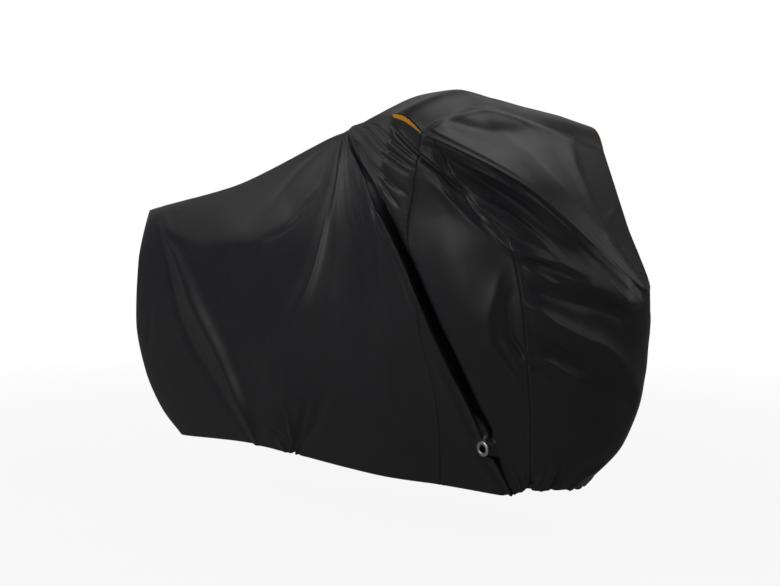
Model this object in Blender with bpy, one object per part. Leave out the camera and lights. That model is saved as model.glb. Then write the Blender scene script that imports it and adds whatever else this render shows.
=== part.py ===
"""Fitted bicycle cover, as it hangs over a saddle and a turned handlebar with the bicycle left out."""
import math

import bmesh
import bpy
import numpy as np
from mathutils import Matrix, Vector
from mathutils.geometry import closest_point_on_tri

# ---------------------------------------------------------------- driving sizes, metres
# The form is drawn in the bicycle's coordinates: x forward from the rear hub, y to the left and z
# above the ground. At the end it is moved so that the point on the saddle becomes the origin.
SADDLE_POINT = (0.50, 0.0, 1.179)  # where the underside of the cloth lies on the saddle
CLOTH = 0.0015  # thickness of every cloth piece
SEAM_GAP = 0.0006  # clearance between panels that are sewn together
EYELET_BORE = 0.024  # inner diameter of the metal eyelets
EYELET_OUTER = 0.044  # outer diameter of their flanges
EYELET_HOLE = 0.030  # hole punched in the cloth
EYELET_AT = (1.428, 0.902)  # (station, drop) of each eyelet
EYELET_PLATE = 0.0008  # thickness of the eyelet's inner washer
EYELET_BARREL = 0.0015  # wall of its barrel
EYELET_PLAY = 0.0003  # clearance between the eyelet's flanges and the cloth
EYELET_SEGMENTS = 24

# ---------------------------------------------------------------- the form of the right side
# Each row is a section from the top edge down to the hem, in the order from the tail's centre line
# round the right side to the nose's centre line. "at" is its place along the side, roughly in
# metres. Its six points lie at DROPS: top, brow, chest, waist, skirt and hem. "left top" is where
# the left side's top edge lies: the left end of the turned handlebar is ahead of the right one.
# "arch" is how high the roof rises above the straight line between the two top edges.
DROPS = (0.0, 0.18, 0.38, 0.58, 0.80, 1.0)
SECTIONS = (
    # name, at, (top, brow, chest, waist, skirt, hem), left top, arch
    ("tail", 0.00, ((-0.415, 0.000, 0.930), (-0.477, 0.000, 0.740), (-0.493, 0.000, 0.530),
                    (-0.449, 0.000, 0.346), (-0.362, 0.000, 0.205), (-0.266, 0.000, 0.120)),
     (-0.415, 0.000, 0.930), 0.000),
    ("tail quarter", 0.30, ((-0.378, 0.000, 0.936), (-0.241, -0.080, 0.775), (-0.135, -0.110, 0.572),
                            (-0.037, -0.120, 0.438), (0.067, -0.120, 0.304), (0.145, -0.090, 0.153)),
     (-0.378, 0.000, 0.936), 0.000),
    ("tail cone", 0.42, ((-0.321, 0.000, 0.947), (-0.117, -0.110, 0.751), (0.004, -0.140, 0.594),
                         (0.115, -0.150, 0.436), (0.188, -0.145, 0.293), (0.229, -0.105, 0.152)),
     (-0.321, 0.000, 0.947), 0.000),
    ("back", 0.60, ((0.006, 0.000, 1.010), (0.137, -0.120, 0.843), (0.219, -0.165, 0.639),
                    (0.282, -0.180, 0.468), (0.318, -0.170, 0.309), (0.315, -0.115, 0.148)),
     (0.006, 0.000, 1.010), 0.000),
    ("saddle", 0.80, ((0.459, 0.000, 1.168), (0.523, -0.130, 0.981), (0.511, -0.175, 0.799),
                      (0.463, -0.195, 0.597), (0.413, -0.185, 0.375), (0.394, -0.120, 0.146)),
     (0.459, 0.000, 1.168), 0.000),
    ("flank", 1.00, ((0.555, -0.045, 1.188), (0.640, -0.150, 0.985), (0.695, -0.205, 0.795),
                     (0.702, -0.225, 0.591), (0.653, -0.200, 0.363), (0.585, -0.130, 0.135)),
     (0.555, 0.045, 1.188), 0.005),
    ("grip", 1.18, ((0.908, -0.335, 1.181), (0.858, -0.325, 1.001), (0.840, -0.300, 0.823),
                    (0.843, -0.270, 0.623), (0.816, -0.215, 0.386), (0.757, -0.135, 0.129)),
     (1.165, 0.335, 1.180), 0.078),
    ("rear seam", 1.32, ((0.992, -0.345, 1.129), (0.960, -0.335, 0.991), (0.927, -0.310, 0.838),
                         (0.944, -0.275, 0.645), (0.965, -0.220, 0.410), (0.926, -0.135, 0.132)),
     (1.218, 0.315, 1.104), 0.088),
    ("gusset", 1.46, ((1.007, -0.345, 1.123), (1.042, -0.330, 0.984), (1.089, -0.305, 0.827),
                      (1.112, -0.270, 0.632), (1.122, -0.215, 0.410), (1.124, -0.130, 0.128)),
     (1.226, 0.308, 1.090), 0.088),
    ("front seam", 1.58, ((1.023, -0.345, 1.115), (1.097, -0.310, 0.976), (1.228, -0.275, 0.816),
                          (1.254, -0.250, 0.612), (1.245, -0.200, 0.407), (1.211, -0.130, 0.158)),
     (1.236, 0.298, 1.074), 0.082),
    ("front quarter", 1.80, ((1.265, -0.250, 0.980), (1.339, -0.190, 0.831), (1.389, -0.160, 0.686),
                             (1.402, -0.145, 0.528), (1.367, -0.120, 0.341), (1.283, -0.080, 0.158)),
     (1.365, 0.150, 0.885), 0.045),
    ("nose", 2.00, ((1.489, 0.000, 0.709), (1.490, 0.000, 0.632), (1.484, 0.000, 0.537),
                    (1.471, 0.000, 0.428), (1.422, 0.000, 0.286), (1.300, 0.000, 0.146)),
     (1.489, 0.000, 0.709), 0.000),
)
SADDLE_AT = 0.80  # where the top edge parts into a right and a left edge, with the roof between them
TONGUE_AT = 0.86  # the hood's tongue ends here, short of the saddle
REAR_SEAM_AT = 1.32
FRONT_SEAM_AT = 1.58
NOSE_AT = 2.00
ROUND_TOPS = 5  # the first sections run round over the ridge; the others end at a crease
SKEW = 0.55  # the roof arches highest on the right of its middle
LEFT_FADE = 1.3  # how soon the left side's lead at the handlebar dies away below it

# ---------------------------------------------------------------- the folds
# Each fold follows (at, drop) points on its patch, down a side or forward along it. "rise" is how far
# its crest stands out of the form, less than nothing for a valley. "behind" and "ahead" are its half
# widths: behind is towards the tail or the hem, ahead towards the nose or the top. "lean" carries the
# crest ahead. "grow" and "die" are the shares of its length over which it rises and fades, and
# "narrow" is how narrow it starts.
FOLDS = (
    # name, patch, path, rise, behind, ahead, lean, grow, die, narrow
    ("main pleat crest", "right", ((0.91, 0.02), (0.99, 0.10), (1.11, 0.22), (1.238, 0.36), (1.313, 0.50),
                                   (1.361, 0.65), (1.418, 0.82), (1.487, 1.00)),
     0.024, 0.040, 0.014, 0.012, 0.15, 0.05, 0.4),
    ("main pleat valley", "right", ((0.93, 0.02), (1.018, 0.10), (1.15, 0.22), (1.273, 0.36), (1.343, 0.50),
                                    (1.384, 0.65), (1.438, 0.82), (1.518, 1.00)),
     -0.045, 0.012, 0.020, -0.006, 0.20, 0.10, 0.3),
    ("saddle ridge", "right", ((0.83, 0.03), (0.797, 0.10), (0.80, 0.27), (0.80, 0.46), (0.79, 0.55),
                               (0.75, 0.62), (0.66, 0.66), (0.58, 0.73)),
     0.030, 0.050, 0.022, 0.004, 0.15, 0.45, 0.4),
    ("tail cone", "right", ((0.32, 0.06), (0.352, 0.20), (0.36, 0.40), (0.357, 0.60), (0.352, 0.80),
                            (0.34, 1.00)),
     0.030, 0.030, 0.050, 0.000, 0.20, 0.10, 0.3),
    ("grip valley", "right", ((1.22, 0.04), (1.32, 0.07), (1.44, 0.09), (1.55, 0.15), (1.60, 0.25)),
     -0.020, 0.022, 0.030, 0.000, 0.30, 0.50, 0.6),
    ("gusset hollow", "right", ((1.54, 0.36), (1.525, 0.48), (1.535, 0.58), (1.56, 0.66)),
     -0.022, 0.030, 0.050, 0.000, 0.40, 0.40, 1.0),
    ("front ridge", "right", ((1.55, 0.50), (1.69, 0.525), (1.82, 0.508), (1.95, 0.52)),
     0.018, 0.030, 0.035, 0.000, 0.30, 0.50, 0.7),
    ("brow ridge", "right", ((1.58, 0.18), (1.64, 0.26), (1.72, 0.275), (1.80, 0.25), (1.88, 0.24)),
     0.012, 0.022, 0.022, 0.000, 0.30, 0.50, 0.7),
    ("front belly", "right", ((1.60, 0.66), (1.70, 0.68), (1.80, 0.72)),
     0.012, 0.030, 0.025, 0.000, 0.40, 0.50, 0.7),
    ("hem gather 1", "right", ((0.93, 0.74), (0.88, 0.86), (0.75, 0.99)),
     0.014, 0.026, 0.020, 0.0, 0.6, 0.05, 1.5),
    ("hem gather 2", "right", ((0.56, 0.84), (0.60, 0.93), (0.62, 1.00)),
     0.012, 0.022, 0.020, 0.0, 0.6, 0.05, 1.5),
    ("hem gather 3", "right", ((0.80, 0.84), (0.76, 0.93), (0.69, 1.00)),
     -0.014, 0.022, 0.020, 0.0, 0.6, 0.05, 1.2),
    ("nose gather", "right", ((1.95, 0.88), (1.93, 0.94), (1.92, 1.00)),
     0.012, 0.022, 0.020, 0.0, 0.5, 0.05, 1.3),
    ("left pleat crest", "left", ((0.92, 0.03), (0.99, 0.10), (1.11, 0.22), (1.24, 0.36), (1.313, 0.50),
                                  (1.36, 0.65), (1.41, 0.82), (1.475, 1.00)),
     0.022, 0.045, 0.018, 0.008, 0.20, 0.05, 0.4),
    ("left pleat valley", "left", ((0.95, 0.03), (1.02, 0.10), (1.15, 0.22), (1.275, 0.36), (1.345, 0.50),
                                   (1.386, 0.65), (1.438, 0.82), (1.508, 1.00)),
     -0.032, 0.014, 0.024, -0.004, 0.25, 0.10, 0.3),
    ("left saddle ridge", "left", ((0.81, 0.04), (0.795, 0.15), (0.80, 0.40), (0.79, 0.62), (0.77, 0.85)),
     0.026, 0.040, 0.026, 0.002, 0.15, 0.50, 0.4),
    ("left tail cone", "left", ((0.33, 0.08), (0.36, 0.25), (0.37, 0.50), (0.355, 0.80), (0.34, 1.00)),
     0.026, 0.035, 0.045, 0.000, 0.20, 0.15, 0.3),
    ("left flank fold", "left", ((0.60, 0.10), (0.62, 0.40), (0.60, 0.80)),
     -0.014, 0.060, 0.060, 0.000, 0.40, 0.40, 0.7),
    ("left front ridge", "left", ((1.60, 0.40), (1.72, 0.45), (1.84, 0.46), (1.94, 0.49)),
     0.015, 0.030, 0.035, 0.000, 0.30, 0.50, 0.7),
    ("left front fold", "left", ((1.62, 0.12), (1.70, 0.24), (1.76, 0.36)),
     -0.014, 0.035, 0.035, 0.000, 0.40, 0.40, 0.8),
    ("left hem gather 1", "left", ((0.86, 0.80), (0.80, 0.90), (0.72, 1.00)),
     0.014, 0.026, 0.022, 0.0, 0.6, 0.05, 1.5),
    ("left hem gather 2", "left", ((0.58, 0.84), (0.61, 0.93), (0.64, 1.00)),
     0.012, 0.022, 0.020, 0.0, 0.6, 0.05, 1.5),
    ("left nose gather", "left", ((1.90, 0.88), (1.90, 0.94), (1.89, 1.00)),
     0.012, 0.022, 0.020, 0.0, 0.5, 0.05, 1.3),
    ("roof dip", "roof", ((1.30, 0.18), (1.45, 0.16), (1.62, 0.13), (1.74, 0.12)),
     -0.014, 0.035, 0.045, 0.000, 0.35, 0.50, 0.7),
)
SIDES = {"right": -1, "left": 1}

# ---------------------------------------------------------------- the mesh lines
# Each row is a line down both sides, by its place at the drops in RIB_DROPS. They follow the main
# folds, so that a fold's crest and foot fall on edges. "strips" is how many strips of faces lie
# between a line and the next one.
RIB_DROPS = (0.0, 0.10, 0.22, 0.36, 0.50, 0.65, 0.82, 1.0)
RIBS = (
    # name, at, strips
    ("tail", (0.00, 0.00, 0.00, 0.00, 0.00, 0.00, 0.00, 0.00), 4),
    ("cone foot", (0.27, 0.29, 0.30, 0.31, 0.31, 0.31, 0.30, 0.29), 1),
    ("cone crest", (0.32, 0.335, 0.352, 0.36, 0.36, 0.357, 0.352, 0.34), 1),
    ("cone back", (0.36, 0.40, 0.41, 0.42, 0.42, 0.42, 0.415, 0.41), 6),
    ("ridge foot", (0.76, 0.757, 0.755, 0.755, 0.75, 0.74, 0.72, 0.70), 1),
    ("ridge crest", (0.80, 0.797, 0.795, 0.80, 0.80, 0.79, 0.78, 0.75), 1),
    ("ridge lee", (0.835, 0.83, 0.835, 0.84, 0.84, 0.84, 0.83, 0.81), 3),
    ("pleat foot", (0.872, 0.955, 1.07, 1.19, 1.27, 1.32, 1.365, 1.43), 1),
    ("pleat crest", (0.89, 0.99, 1.11, 1.238, 1.313, 1.361, 1.418, 1.487), 1),
    ("pleat lip", (0.905, 1.004, 1.13, 1.255, 1.328, 1.372, 1.427, 1.503), 1),
    ("pleat floor", (0.92, 1.018, 1.15, 1.273, 1.343, 1.384, 1.438, 1.518), 1),
    ("pleat lee", (0.95, 1.045, 1.178, 1.30, 1.365, 1.406, 1.455, 1.535), 2),
    ("lip rear", (1.165, 1.20, 1.27, 1.36, 1.41, 1.44, 1.48, 1.545), 6),
    ("lip front", (1.32, 1.33, 1.36, 1.42, 1.46, 1.48, 1.51, 1.555), 3),
    ("front seam", (1.58, 1.58, 1.58, 1.58, 1.58, 1.58, 1.58, 1.58), 6),
    ("nose", (2.00, 2.00, 2.00, 2.00, 2.00, 2.00, 2.00, 2.00), 0),
)
ROWS = (0.0, 0.04, 0.085, 0.135, 0.19, 0.25, 0.31, 0.37, 0.43, 0.48, 0.52, 0.57, 0.63, 0.69, 0.75,
        0.81, 0.86, 0.905, 0.95, 1.0)  # drops of the lines that run along the sides
ROOF_STRIPS = 10  # strips of faces across the roof
ON_SEAM = 0.004  # a line this close to the rear seam is laid on it

LIP_FROM, LIP_TO = 1.165, 1.32  # the vent lip lies along this stretch of the top edge
LIP_WIDTH = 0.024  # at its widest, as a share of the side's height, which is about a metre
LIP_ROWS = 2  # rows of faces down the lip
SLIT = 0.012  # the vent over the lip, as a share of the way across the roof
SLIT_ENDS = 0.0045  # the same at the lip's two tips

PANELS = ("rear_right", "rear_left", "gusset_right", "gusset_left", "hood", "vent_lip_right",
          "vent_lip_left")


# ---------------------------------------------------------------- curves through table rows
def calm_slopes(at, values):
    """Slopes for a smooth curve through the values that never swings past them."""
    step = np.diff(at).reshape((-1,) + (1,) * (values.ndim - 1))
    rate = np.diff(values, axis=0) / step
    before, after = 2 * step[1:] + step[:-1], step[1:] + 2 * step[:-1]
    same_way = rate[1:] * rate[:-1] > 0
    safe_before = np.where(same_way, rate[:-1], 1.0)
    safe_after = np.where(same_way, rate[1:], 1.0)
    mean = (before + after) / (before / safe_before + after / safe_after)
    slopes = np.empty_like(values)
    slopes[1:-1] = np.where(same_way, mean, 0.0)
    slopes[0], slopes[-1] = rate[0], rate[-1]
    return slopes


def through(at, values, where):
    """Read the smooth curve through values (knot, point, coordinate) at one place for each point."""
    at = np.asarray(at, dtype=float)
    slopes = calm_slopes(at, values)
    knot = np.clip(np.searchsorted(at, where, side="right") - 1, 0, len(at) - 2)
    step = (at[knot + 1] - at[knot])[:, None]
    s = ((where - at[knot]) / (at[knot + 1] - at[knot]))[:, None]
    point = np.arange(len(where))
    start, end = values[knot, point], values[knot + 1, point]
    leave, arrive = slopes[knot, point] * step, slopes[knot + 1, point] * step
    hermite = start * (1 + 2 * s) * (1 - s) ** 2 + end * s * s * (3 - 2 * s)
    return hermite + leave * s * (1 - s) ** 2 + arrive * s * s * (s - 1)


def column(values, count):
    """The same values for each of so many points."""
    return np.repeat(np.asarray(values, dtype=float)[:, None, :], count, axis=1)


def smooth_step(x):
    x = np.clip(x, 0.0, 1.0)
    return x * x * (3 - 2 * x)


# ---------------------------------------------------------------- the form without its folds
MIRROR = np.array((1.0, -1.0, 1.0))
STATIONS = np.array([row[1] for row in SECTIONS])


def section_points(drop, side):
    """Every section's point at each drop: an array (section, point, xyz)."""
    levels = np.array(DROPS)
    lead_left = (1 - levels) ** LEFT_FADE
    sections = []
    for index, (_, _, points, left_top, _) in enumerate(SECTIONS):
        points = np.array(points)
        if side > 0:
            points = points * MIRROR
            points = points + (np.array(left_top) - points[0]) * lead_left[:, None]
        if index < ROUND_TOPS:
            knots = np.concatenate(([-levels[1]], levels))
            points = np.concatenate(([points[1] * MIRROR], points))
        else:
            knots = levels
        sections.append(through(knots, column(points, len(drop)), drop))
    return np.array(sections)


def side_form(at, drop, side):
    """Points of a side's form; past the tail and the nose it goes on as the other side."""
    here, there = section_points(drop, side), section_points(drop, -side)
    rows = np.concatenate((there[1:2], here, there[-2:-1]))
    stations = np.concatenate(([-STATIONS[1]], STATIONS, [2 * STATIONS[-1] - STATIONS[-2]]))
    return through(stations, rows, at)


def roof_form(at, across):
    """Points of the roof, from the right top edge (across 0) to the left one (across 1)."""
    edge = np.zeros_like(at)
    right, left = side_form(at, edge, -1), side_form(at, edge, 1)
    arches = np.array([row[4] for row in SECTIONS])[:, None]
    arch = through(STATIONS, column(arches, len(at)), at)[:, 0]
    points = right * (1 - across[:, None]) + left * across[:, None]
    points[:, 2] += arch * np.sin(np.pi * across ** SKEW)
    return points


def form(at, down, patch):
    if patch == "roof":
        return roof_form(at, down)
    return side_form(at, down, SIDES[patch])


def outward(at, down, patch):
    """Unit normals of the form."""
    tiny = 1e-3
    low, high = (SADDLE_AT, NOSE_AT) if patch == "roof" else (0.0, NOSE_AT)
    at_0, at_1 = np.clip(at - tiny, low, high), np.clip(at + tiny, low, high)
    down_0, down_1 = np.clip(down - tiny, 0, 1), np.clip(down + tiny, 0, 1)
    along = form(at_1, down, patch) - form(at_0, down, patch)
    fall = form(at, down_1, patch) - form(at, down_0, patch)
    normal = np.cross(fall, along) if patch == "right" else np.cross(along, fall)
    return normal / np.maximum(np.linalg.norm(normal, axis=1, keepdims=True), 1e-12)


# ---------------------------------------------------------------- the folds
def fold_shift(fold, points, normals):
    """How far one fold carries each point."""
    _, patch, path, rise, behind, ahead, lean, grow, die, narrow = fold
    path = np.array(path, dtype=float)
    knots = np.linspace(0.0, 1.0, len(path))
    fine = np.linspace(0.0, 1.0, 8 * len(path))
    way = through(knots, column(path, len(fine)), fine)
    line = form(way[:, 0], way[:, 1], patch)
    starts, steps = line[:-1], np.diff(line, axis=0)
    lengths = np.maximum((steps ** 2).sum(axis=1), 1e-12)
    share = ((points[:, None] - starts) * steps).sum(axis=2) / lengths
    share = np.clip(share, 0.0, 1.0)
    offsets = points[:, None] - starts - share[..., None] * steps
    distances = np.linalg.norm(offsets, axis=2)
    nearest = distances.argmin(axis=1)
    point = np.arange(len(points))
    offset, distance = offsets[point, nearest], distances[point, nearest]
    tangent = steps[nearest] / np.linalg.norm(steps[nearest], axis=1, keepdims=True)
    forward = np.cross(normals, tangent) * (-1 if patch == "left" else 1)
    along = (nearest + share[point, nearest]) / len(steps)
    width = np.where((offset * forward).sum(axis=1) > 0, ahead, behind)
    width = width * (narrow + (1 - narrow) * smooth_step(along / 0.5))
    shape = np.exp(-((distance / width) ** 2))
    shape = shape * smooth_step(along / max(grow, 1e-3)) * smooth_step((1 - along) / max(die, 1e-3))
    return shape[:, None] * (rise * normals + lean * forward)


def edge_fade(at, down, patch):
    """Folds die away at the edges that two patches share."""
    if patch == "roof":
        return smooth_step(down / 0.06) * smooth_step((1 - down) / 0.06)
    return smooth_step(down / 0.03) * smooth_step(at / 0.06) * smooth_step((NOSE_AT - at) / 0.06)


def cover_points(at, down, patch):
    """The cloth's outer surface, folds and all."""
    at, down = np.asarray(at, dtype=float), np.asarray(down, dtype=float)
    points, normals = form(at, down, patch), outward(at, down, patch)
    shift = np.zeros_like(points)
    for fold in FOLDS:
        if fold[1] == patch:
            shift += fold_shift(fold, points, normals)
    return points + shift * edge_fade(at, down, patch)[:, None]


# ---------------------------------------------------------------- the skin, one mesh of all patches
def rib_lines():
    """The places of the lines down the sides, at RIB_DROPS: an array (line, drop)."""
    lines = []
    for (_, near, strips), (_, far, _) in zip(RIBS, RIBS[1:]):
        for step in range(strips):
            share = step / strips
            lines.append(np.array(near) * (1 - share) + np.array(far) * share)
    lines.append(np.array(RIBS[-1][1]))
    return np.array(lines)


def lip_share(at):
    """How much of the side's height the vent lip takes up."""
    s = np.clip((at - LIP_FROM) / (LIP_TO - LIP_FROM), 0.0, 1.0)
    return LIP_WIDTH * np.sin(np.pi * s ** 0.7) ** 0.8


def slit_share(at):
    """How far the roof's edge stands back over the vent lip, as a share of the way across."""
    over_lip = (at > LIP_FROM - 1e-6) & (at < LIP_TO + 1e-6)
    return np.where(over_lip, SLIT_ENDS + (SLIT - SLIT_ENDS) * (lip_share(at) / LIP_WIDTH) ** 2, 0.0)


def grid_sheet(columns, rows):
    """A flat grid whose vertices carry their column and row numbers as x and y."""
    sheet = bmesh.new()
    bmesh.ops.create_grid(sheet, x_segments=columns, y_segments=rows, size=0.5)
    for vertex in sheet.verts:
        vertex.co.x = round((vertex.co.x + 0.5) * columns)
        vertex.co.y = round((vertex.co.y + 0.5) * rows)
    return sheet


def side_chart():
    """A side laid flat: x is the place along it and y is the drop, cut along the rear seam. The rows
    of the vent lip come first, from -1 to 0."""
    lines = rib_lines()
    rows = [row / LIP_ROWS - 1 for row in range(LIP_ROWS)] + list(ROWS)
    chart = grid_sheet(len(lines) - 1, len(rows) - 1)
    for vertex in chart.verts:
        drop = rows[round(vertex.co.y)]
        vertex.co.x = np.interp(drop, RIB_DROPS, lines[round(vertex.co.x)])
        vertex.co.y = drop
        if abs(vertex.co.x - REAR_SEAM_AT) < ON_SEAM:
            vertex.co.x = REAR_SEAM_AT
    everything = chart.verts[:] + chart.edges[:] + chart.faces[:]
    bmesh.ops.bisect_plane(chart, geom=everything, dist=1e-5, plane_co=(REAR_SEAM_AT, 0, 0),
                           plane_no=(1, 0, 0))
    return chart


def roof_chart():
    """The roof laid flat: x is the place along it and y is how far across it."""
    tops = [line[0] for line in rib_lines() if line[0] > SADDLE_AT - 1e-6]
    tops = sorted(set(tops) | {REAR_SEAM_AT})
    chart = grid_sheet(len(tops) - 1, ROOF_STRIPS)
    for vertex in chart.verts:
        vertex.co.x = tops[round(vertex.co.x)]
        vertex.co.y /= ROOF_STRIPS
    return chart


def panel_of(patch, at, down):
    """The panel that a face belongs to, by the place of its middle on the patch's chart."""
    if patch == "roof":
        half = "right" if down < 0.5 else "left"
        return PANELS.index("hood" if at > TONGUE_AT else f"rear_{half}")
    if down < 0:
        return PANELS.index(f"vent_lip_{patch}")
    if at > FRONT_SEAM_AT:
        return PANELS.index("hood")
    return PANELS.index(f"gusset_{patch}" if at > REAR_SEAM_AT else f"rear_{patch}")


def add_patch(skin, patch):
    """Lay one patch's chart onto the form and add it to the skin."""
    chart = roof_chart() if patch == "roof" else side_chart()
    for face in chart.faces:
        middle = face.calc_center_median()
        face.material_index = panel_of(patch, middle.x, middle.y)
    at = np.array([vertex.co.x for vertex in chart.verts])
    down = np.array([vertex.co.y for vertex in chart.verts])
    if patch == "roof":
        slit = slit_share(at)
        down = np.where(down < 1e-6, slit, np.where(down > 1 - 1e-6, 1 - slit, down))
    else:
        lip = lip_share(at)
        down = np.where(down < 0, lip * (1 + down), lip + (1 - lip) * down)
    for vertex, point in zip(chart.verts, cover_points(at, down, patch)):
        vertex.co = point
    if patch == "right":
        bmesh.ops.reverse_faces(chart, faces=chart.faces[:])
    carry = bpy.data.meshes.new("carry")
    chart.to_mesh(carry)
    chart.free()
    skin.from_mesh(carry)
    bpy.data.meshes.remove(carry)


def whole_skin():
    """The outer surface in one piece. Its layer "out" keeps the directions in which it faces."""
    skin = bmesh.new()
    for patch in ("right", "left", "roof"):
        add_patch(skin, patch)
    bmesh.ops.remove_doubles(skin, verts=skin.verts[:], dist=1e-5)
    bmesh.ops.dissolve_degenerate(skin, edges=skin.edges[:], dist=1e-5)
    bmesh.ops.delete(skin, geom=[edge for edge in skin.edges if not edge.link_faces], context="EDGES")
    skin.normal_update()
    flatten_at_eyelets(skin)
    skin.normal_update()
    out = skin.verts.layers.float_vector.new("out")
    for vertex in skin.verts:
        vertex[out] = vertex.normal
    return skin


# ---------------------------------------------------------------- the cloth panels
def eyelet_seats():
    """Each eyelet's side, middle and direction."""
    seats = []
    for patch in SIDES:
        at, down = np.array([EYELET_AT[0]]), np.array([EYELET_AT[1]])
        middle = Vector(cover_points(at, down, patch)[0])
        seats.append((patch, middle, Vector(outward(at, down, patch)[0])))
    return seats


def flatten_at_eyelets(skin):
    """Every face that an eyelet's flange touches is pressed into the eyelet's plane."""
    for _, middle, facing in eyelet_seats():
        def pressed(vertex):
            return vertex.co - facing * (vertex.co - middle).dot(facing)

        seat = set()
        for face in skin.faces:
            if (face.calc_center_median() - middle).length > 0.1 or face.normal.dot(facing) < 0:
                continue
            corners = [pressed(vertex) for vertex in face.verts]
            for second, third in zip(corners[1:], corners[2:]):
                nearest = closest_point_on_tri(middle, corners[0], second, third)
                if (nearest - middle).length < EYELET_OUTER / 2 + SEAM_GAP:
                    seat.update(face.verts)
        for vertex in seat:
            vertex.co = pressed(vertex)


def pull_back_from_seams(panel, seam_edges):
    """Move a panel's seam edges inwards by half the seam's clearance."""
    moves = {}
    for edge in seam_edges:
        face = edge.link_faces[0]
        along = (edge.verts[1].co - edge.verts[0].co).normalized()
        inward = face.normal.cross(along)
        if inward.dot(face.calc_center_median() - edge.verts[0].co) < 0:
            inward.negate()
        for vertex in edge.verts:
            moves.setdefault(vertex, []).append(inward)
    for vertex, inwards in moves.items():
        middle = sum(inwards, Vector()).normalized()
        vertex.co += middle * (SEAM_GAP / 2) / max(middle.dot(inwards[0]), 0.3)


def thicken(panel):
    """Turn a one-sided panel into a closed sheet by adding its inner side and its edges."""
    out = panel.verts.layers.float_vector["out"]
    added = bmesh.ops.extrude_face_region(panel, geom=panel.faces[:], use_keep_orig=True)
    for item in added["geom"]:
        if isinstance(item, bmesh.types.BMVert):
            item.co -= item[out] * CLOTH
    bmesh.ops.triangulate(panel, faces=panel.faces[:])
    bmesh.ops.recalc_face_normals(panel, faces=panel.faces[:])


def cloth_panel(skin, index, name, material):
    panel = skin.copy()
    panel.faces.ensure_lookup_table()
    others = [face for face in panel.faces if face.material_index != index]
    seam_edges = [edge for edge in panel.edges
                  if len({face.material_index for face in edge.link_faces}) == 2
                  and any(face.material_index == index for face in edge.link_faces)]
    bmesh.ops.delete(panel, geom=others, context="FACES")
    pull_back_from_seams(panel, [edge for edge in seam_edges if edge.is_valid])
    thicken(panel)
    for face in panel.faces:
        face.material_index = 0
    return finished(panel, name, material)


def finished(shape, name, material, smooth=False):
    """Move a shape into the cover's own frame and make it an object."""
    bmesh.ops.translate(shape, verts=shape.verts[:], vec=-Vector(SADDLE_POINT))
    mesh = bpy.data.meshes.new(name)
    shape.to_mesh(mesh)
    shape.free()
    if smooth:
        mesh.shade_smooth()
    mesh.materials.append(material)
    piece = bpy.data.objects.new(name, mesh)
    bpy.context.scene.collection.objects.link(piece)
    return piece


# ---------------------------------------------------------------- eyelets
def eyelet_frame(middle, facing):
    """A matrix that puts a ring, made round the Z axis, onto its seat."""
    turn = facing.to_track_quat("Z", "Y").to_matrix().to_4x4()
    return Matrix.Translation(middle) @ turn


def eyelet(patch, middle, facing, material):
    """A two-part metal eyelet pressed together: a domed flange outside, a barrel and a washer inside."""
    bore, outer = EYELET_BORE / 2, EYELET_OUTER / 2
    inner_face = -CLOTH - EYELET_PLAY
    profile = (
        (bore, inner_face - EYELET_PLATE), (bore, 0.0012), (bore + 0.001, 0.0020),
        ((bore + outer) / 2, 0.0024), (outer - 0.001, 0.0018), (outer, EYELET_PLAY + 0.0003),
        (outer, EYELET_PLAY), (bore + EYELET_BARREL, EYELET_PLAY), (bore + EYELET_BARREL, inner_face),
        (outer - 0.002, inner_face), (outer - 0.002, inner_face - EYELET_PLATE),
    )
    ring = bmesh.new()
    points = [ring.verts.new((radius, 0.0, height)) for radius, height in profile]
    edges = [ring.edges.new(pair) for pair in zip(points, points[1:] + points[:1])]
    bmesh.ops.spin(ring, geom=points + edges, cent=(0, 0, 0), axis=(0, 0, 1), angle=2 * math.pi,
                   steps=EYELET_SEGMENTS, use_merge=True)
    bmesh.ops.remove_doubles(ring, verts=ring.verts[:], dist=1e-6)
    bmesh.ops.recalc_face_normals(ring, faces=ring.faces[:])
    bmesh.ops.transform(ring, matrix=eyelet_frame(middle, facing), verts=ring.verts[:])
    return finished(ring, f"eyelet_{patch}", material, smooth=True)


def punch_hole(panel, patch, middle, facing):
    """Cut the eyelet's hole through a gusset."""
    punch = bmesh.new()
    bmesh.ops.create_cone(punch, cap_ends=True, segments=EYELET_SEGMENTS, radius1=EYELET_HOLE / 2,
                          radius2=EYELET_HOLE / 2, depth=0.03)
    bmesh.ops.transform(punch, matrix=eyelet_frame(middle, facing), verts=punch.verts[:])
    cutter = finished(punch, f"eyelet_punch_{patch}", panel.data.materials[0])
    cutter.display_type = "WIRE"
    cutter.hide_render = True
    cut = panel.modifiers.new("eyelet hole", "BOOLEAN")
    cut.operation = "DIFFERENCE"
    cut.solver = "EXACT"
    cut.object = cutter


# ---------------------------------------------------------------- materials
BLACK = (0.016, 0.016, 0.018)
ORANGE = (0.80, 0.36, 0.02)
METAL = (0.72, 0.72, 0.70)


def finish(name, colour, roughness, metallic=0.0):
    material = bpy.data.materials.new(name)
    material.use_nodes = True
    shader = material.node_tree.nodes["Principled BSDF"]
    shader.inputs["Base Color"].default_value = (*colour, 1.0)
    shader.inputs["Roughness"].default_value = roughness
    shader.inputs["Metallic"].default_value = metallic
    return material


def main():
    for thing in list(bpy.data.objects):
        bpy.data.objects.remove(thing)
    skin = whole_skin()
    panels = {}
    for index, name in enumerate(PANELS):
        colour, roughness = (ORANGE, 0.6) if name.startswith("vent_lip") else (BLACK, 0.45)
        panels[name] = cloth_panel(skin, index, name, finish(f"cloth {name}", colour, roughness))
    skin.free()
    metal = finish("nickel-plated brass", METAL, 0.25, 1.0)
    for patch, middle, facing in eyelet_seats():
        eyelet(patch, middle, facing, metal)
        punch_hole(panels[f"gusset_{patch}"], patch, middle, facing)


if __name__ == "__main__":
    main()
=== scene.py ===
import math
import random

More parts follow.
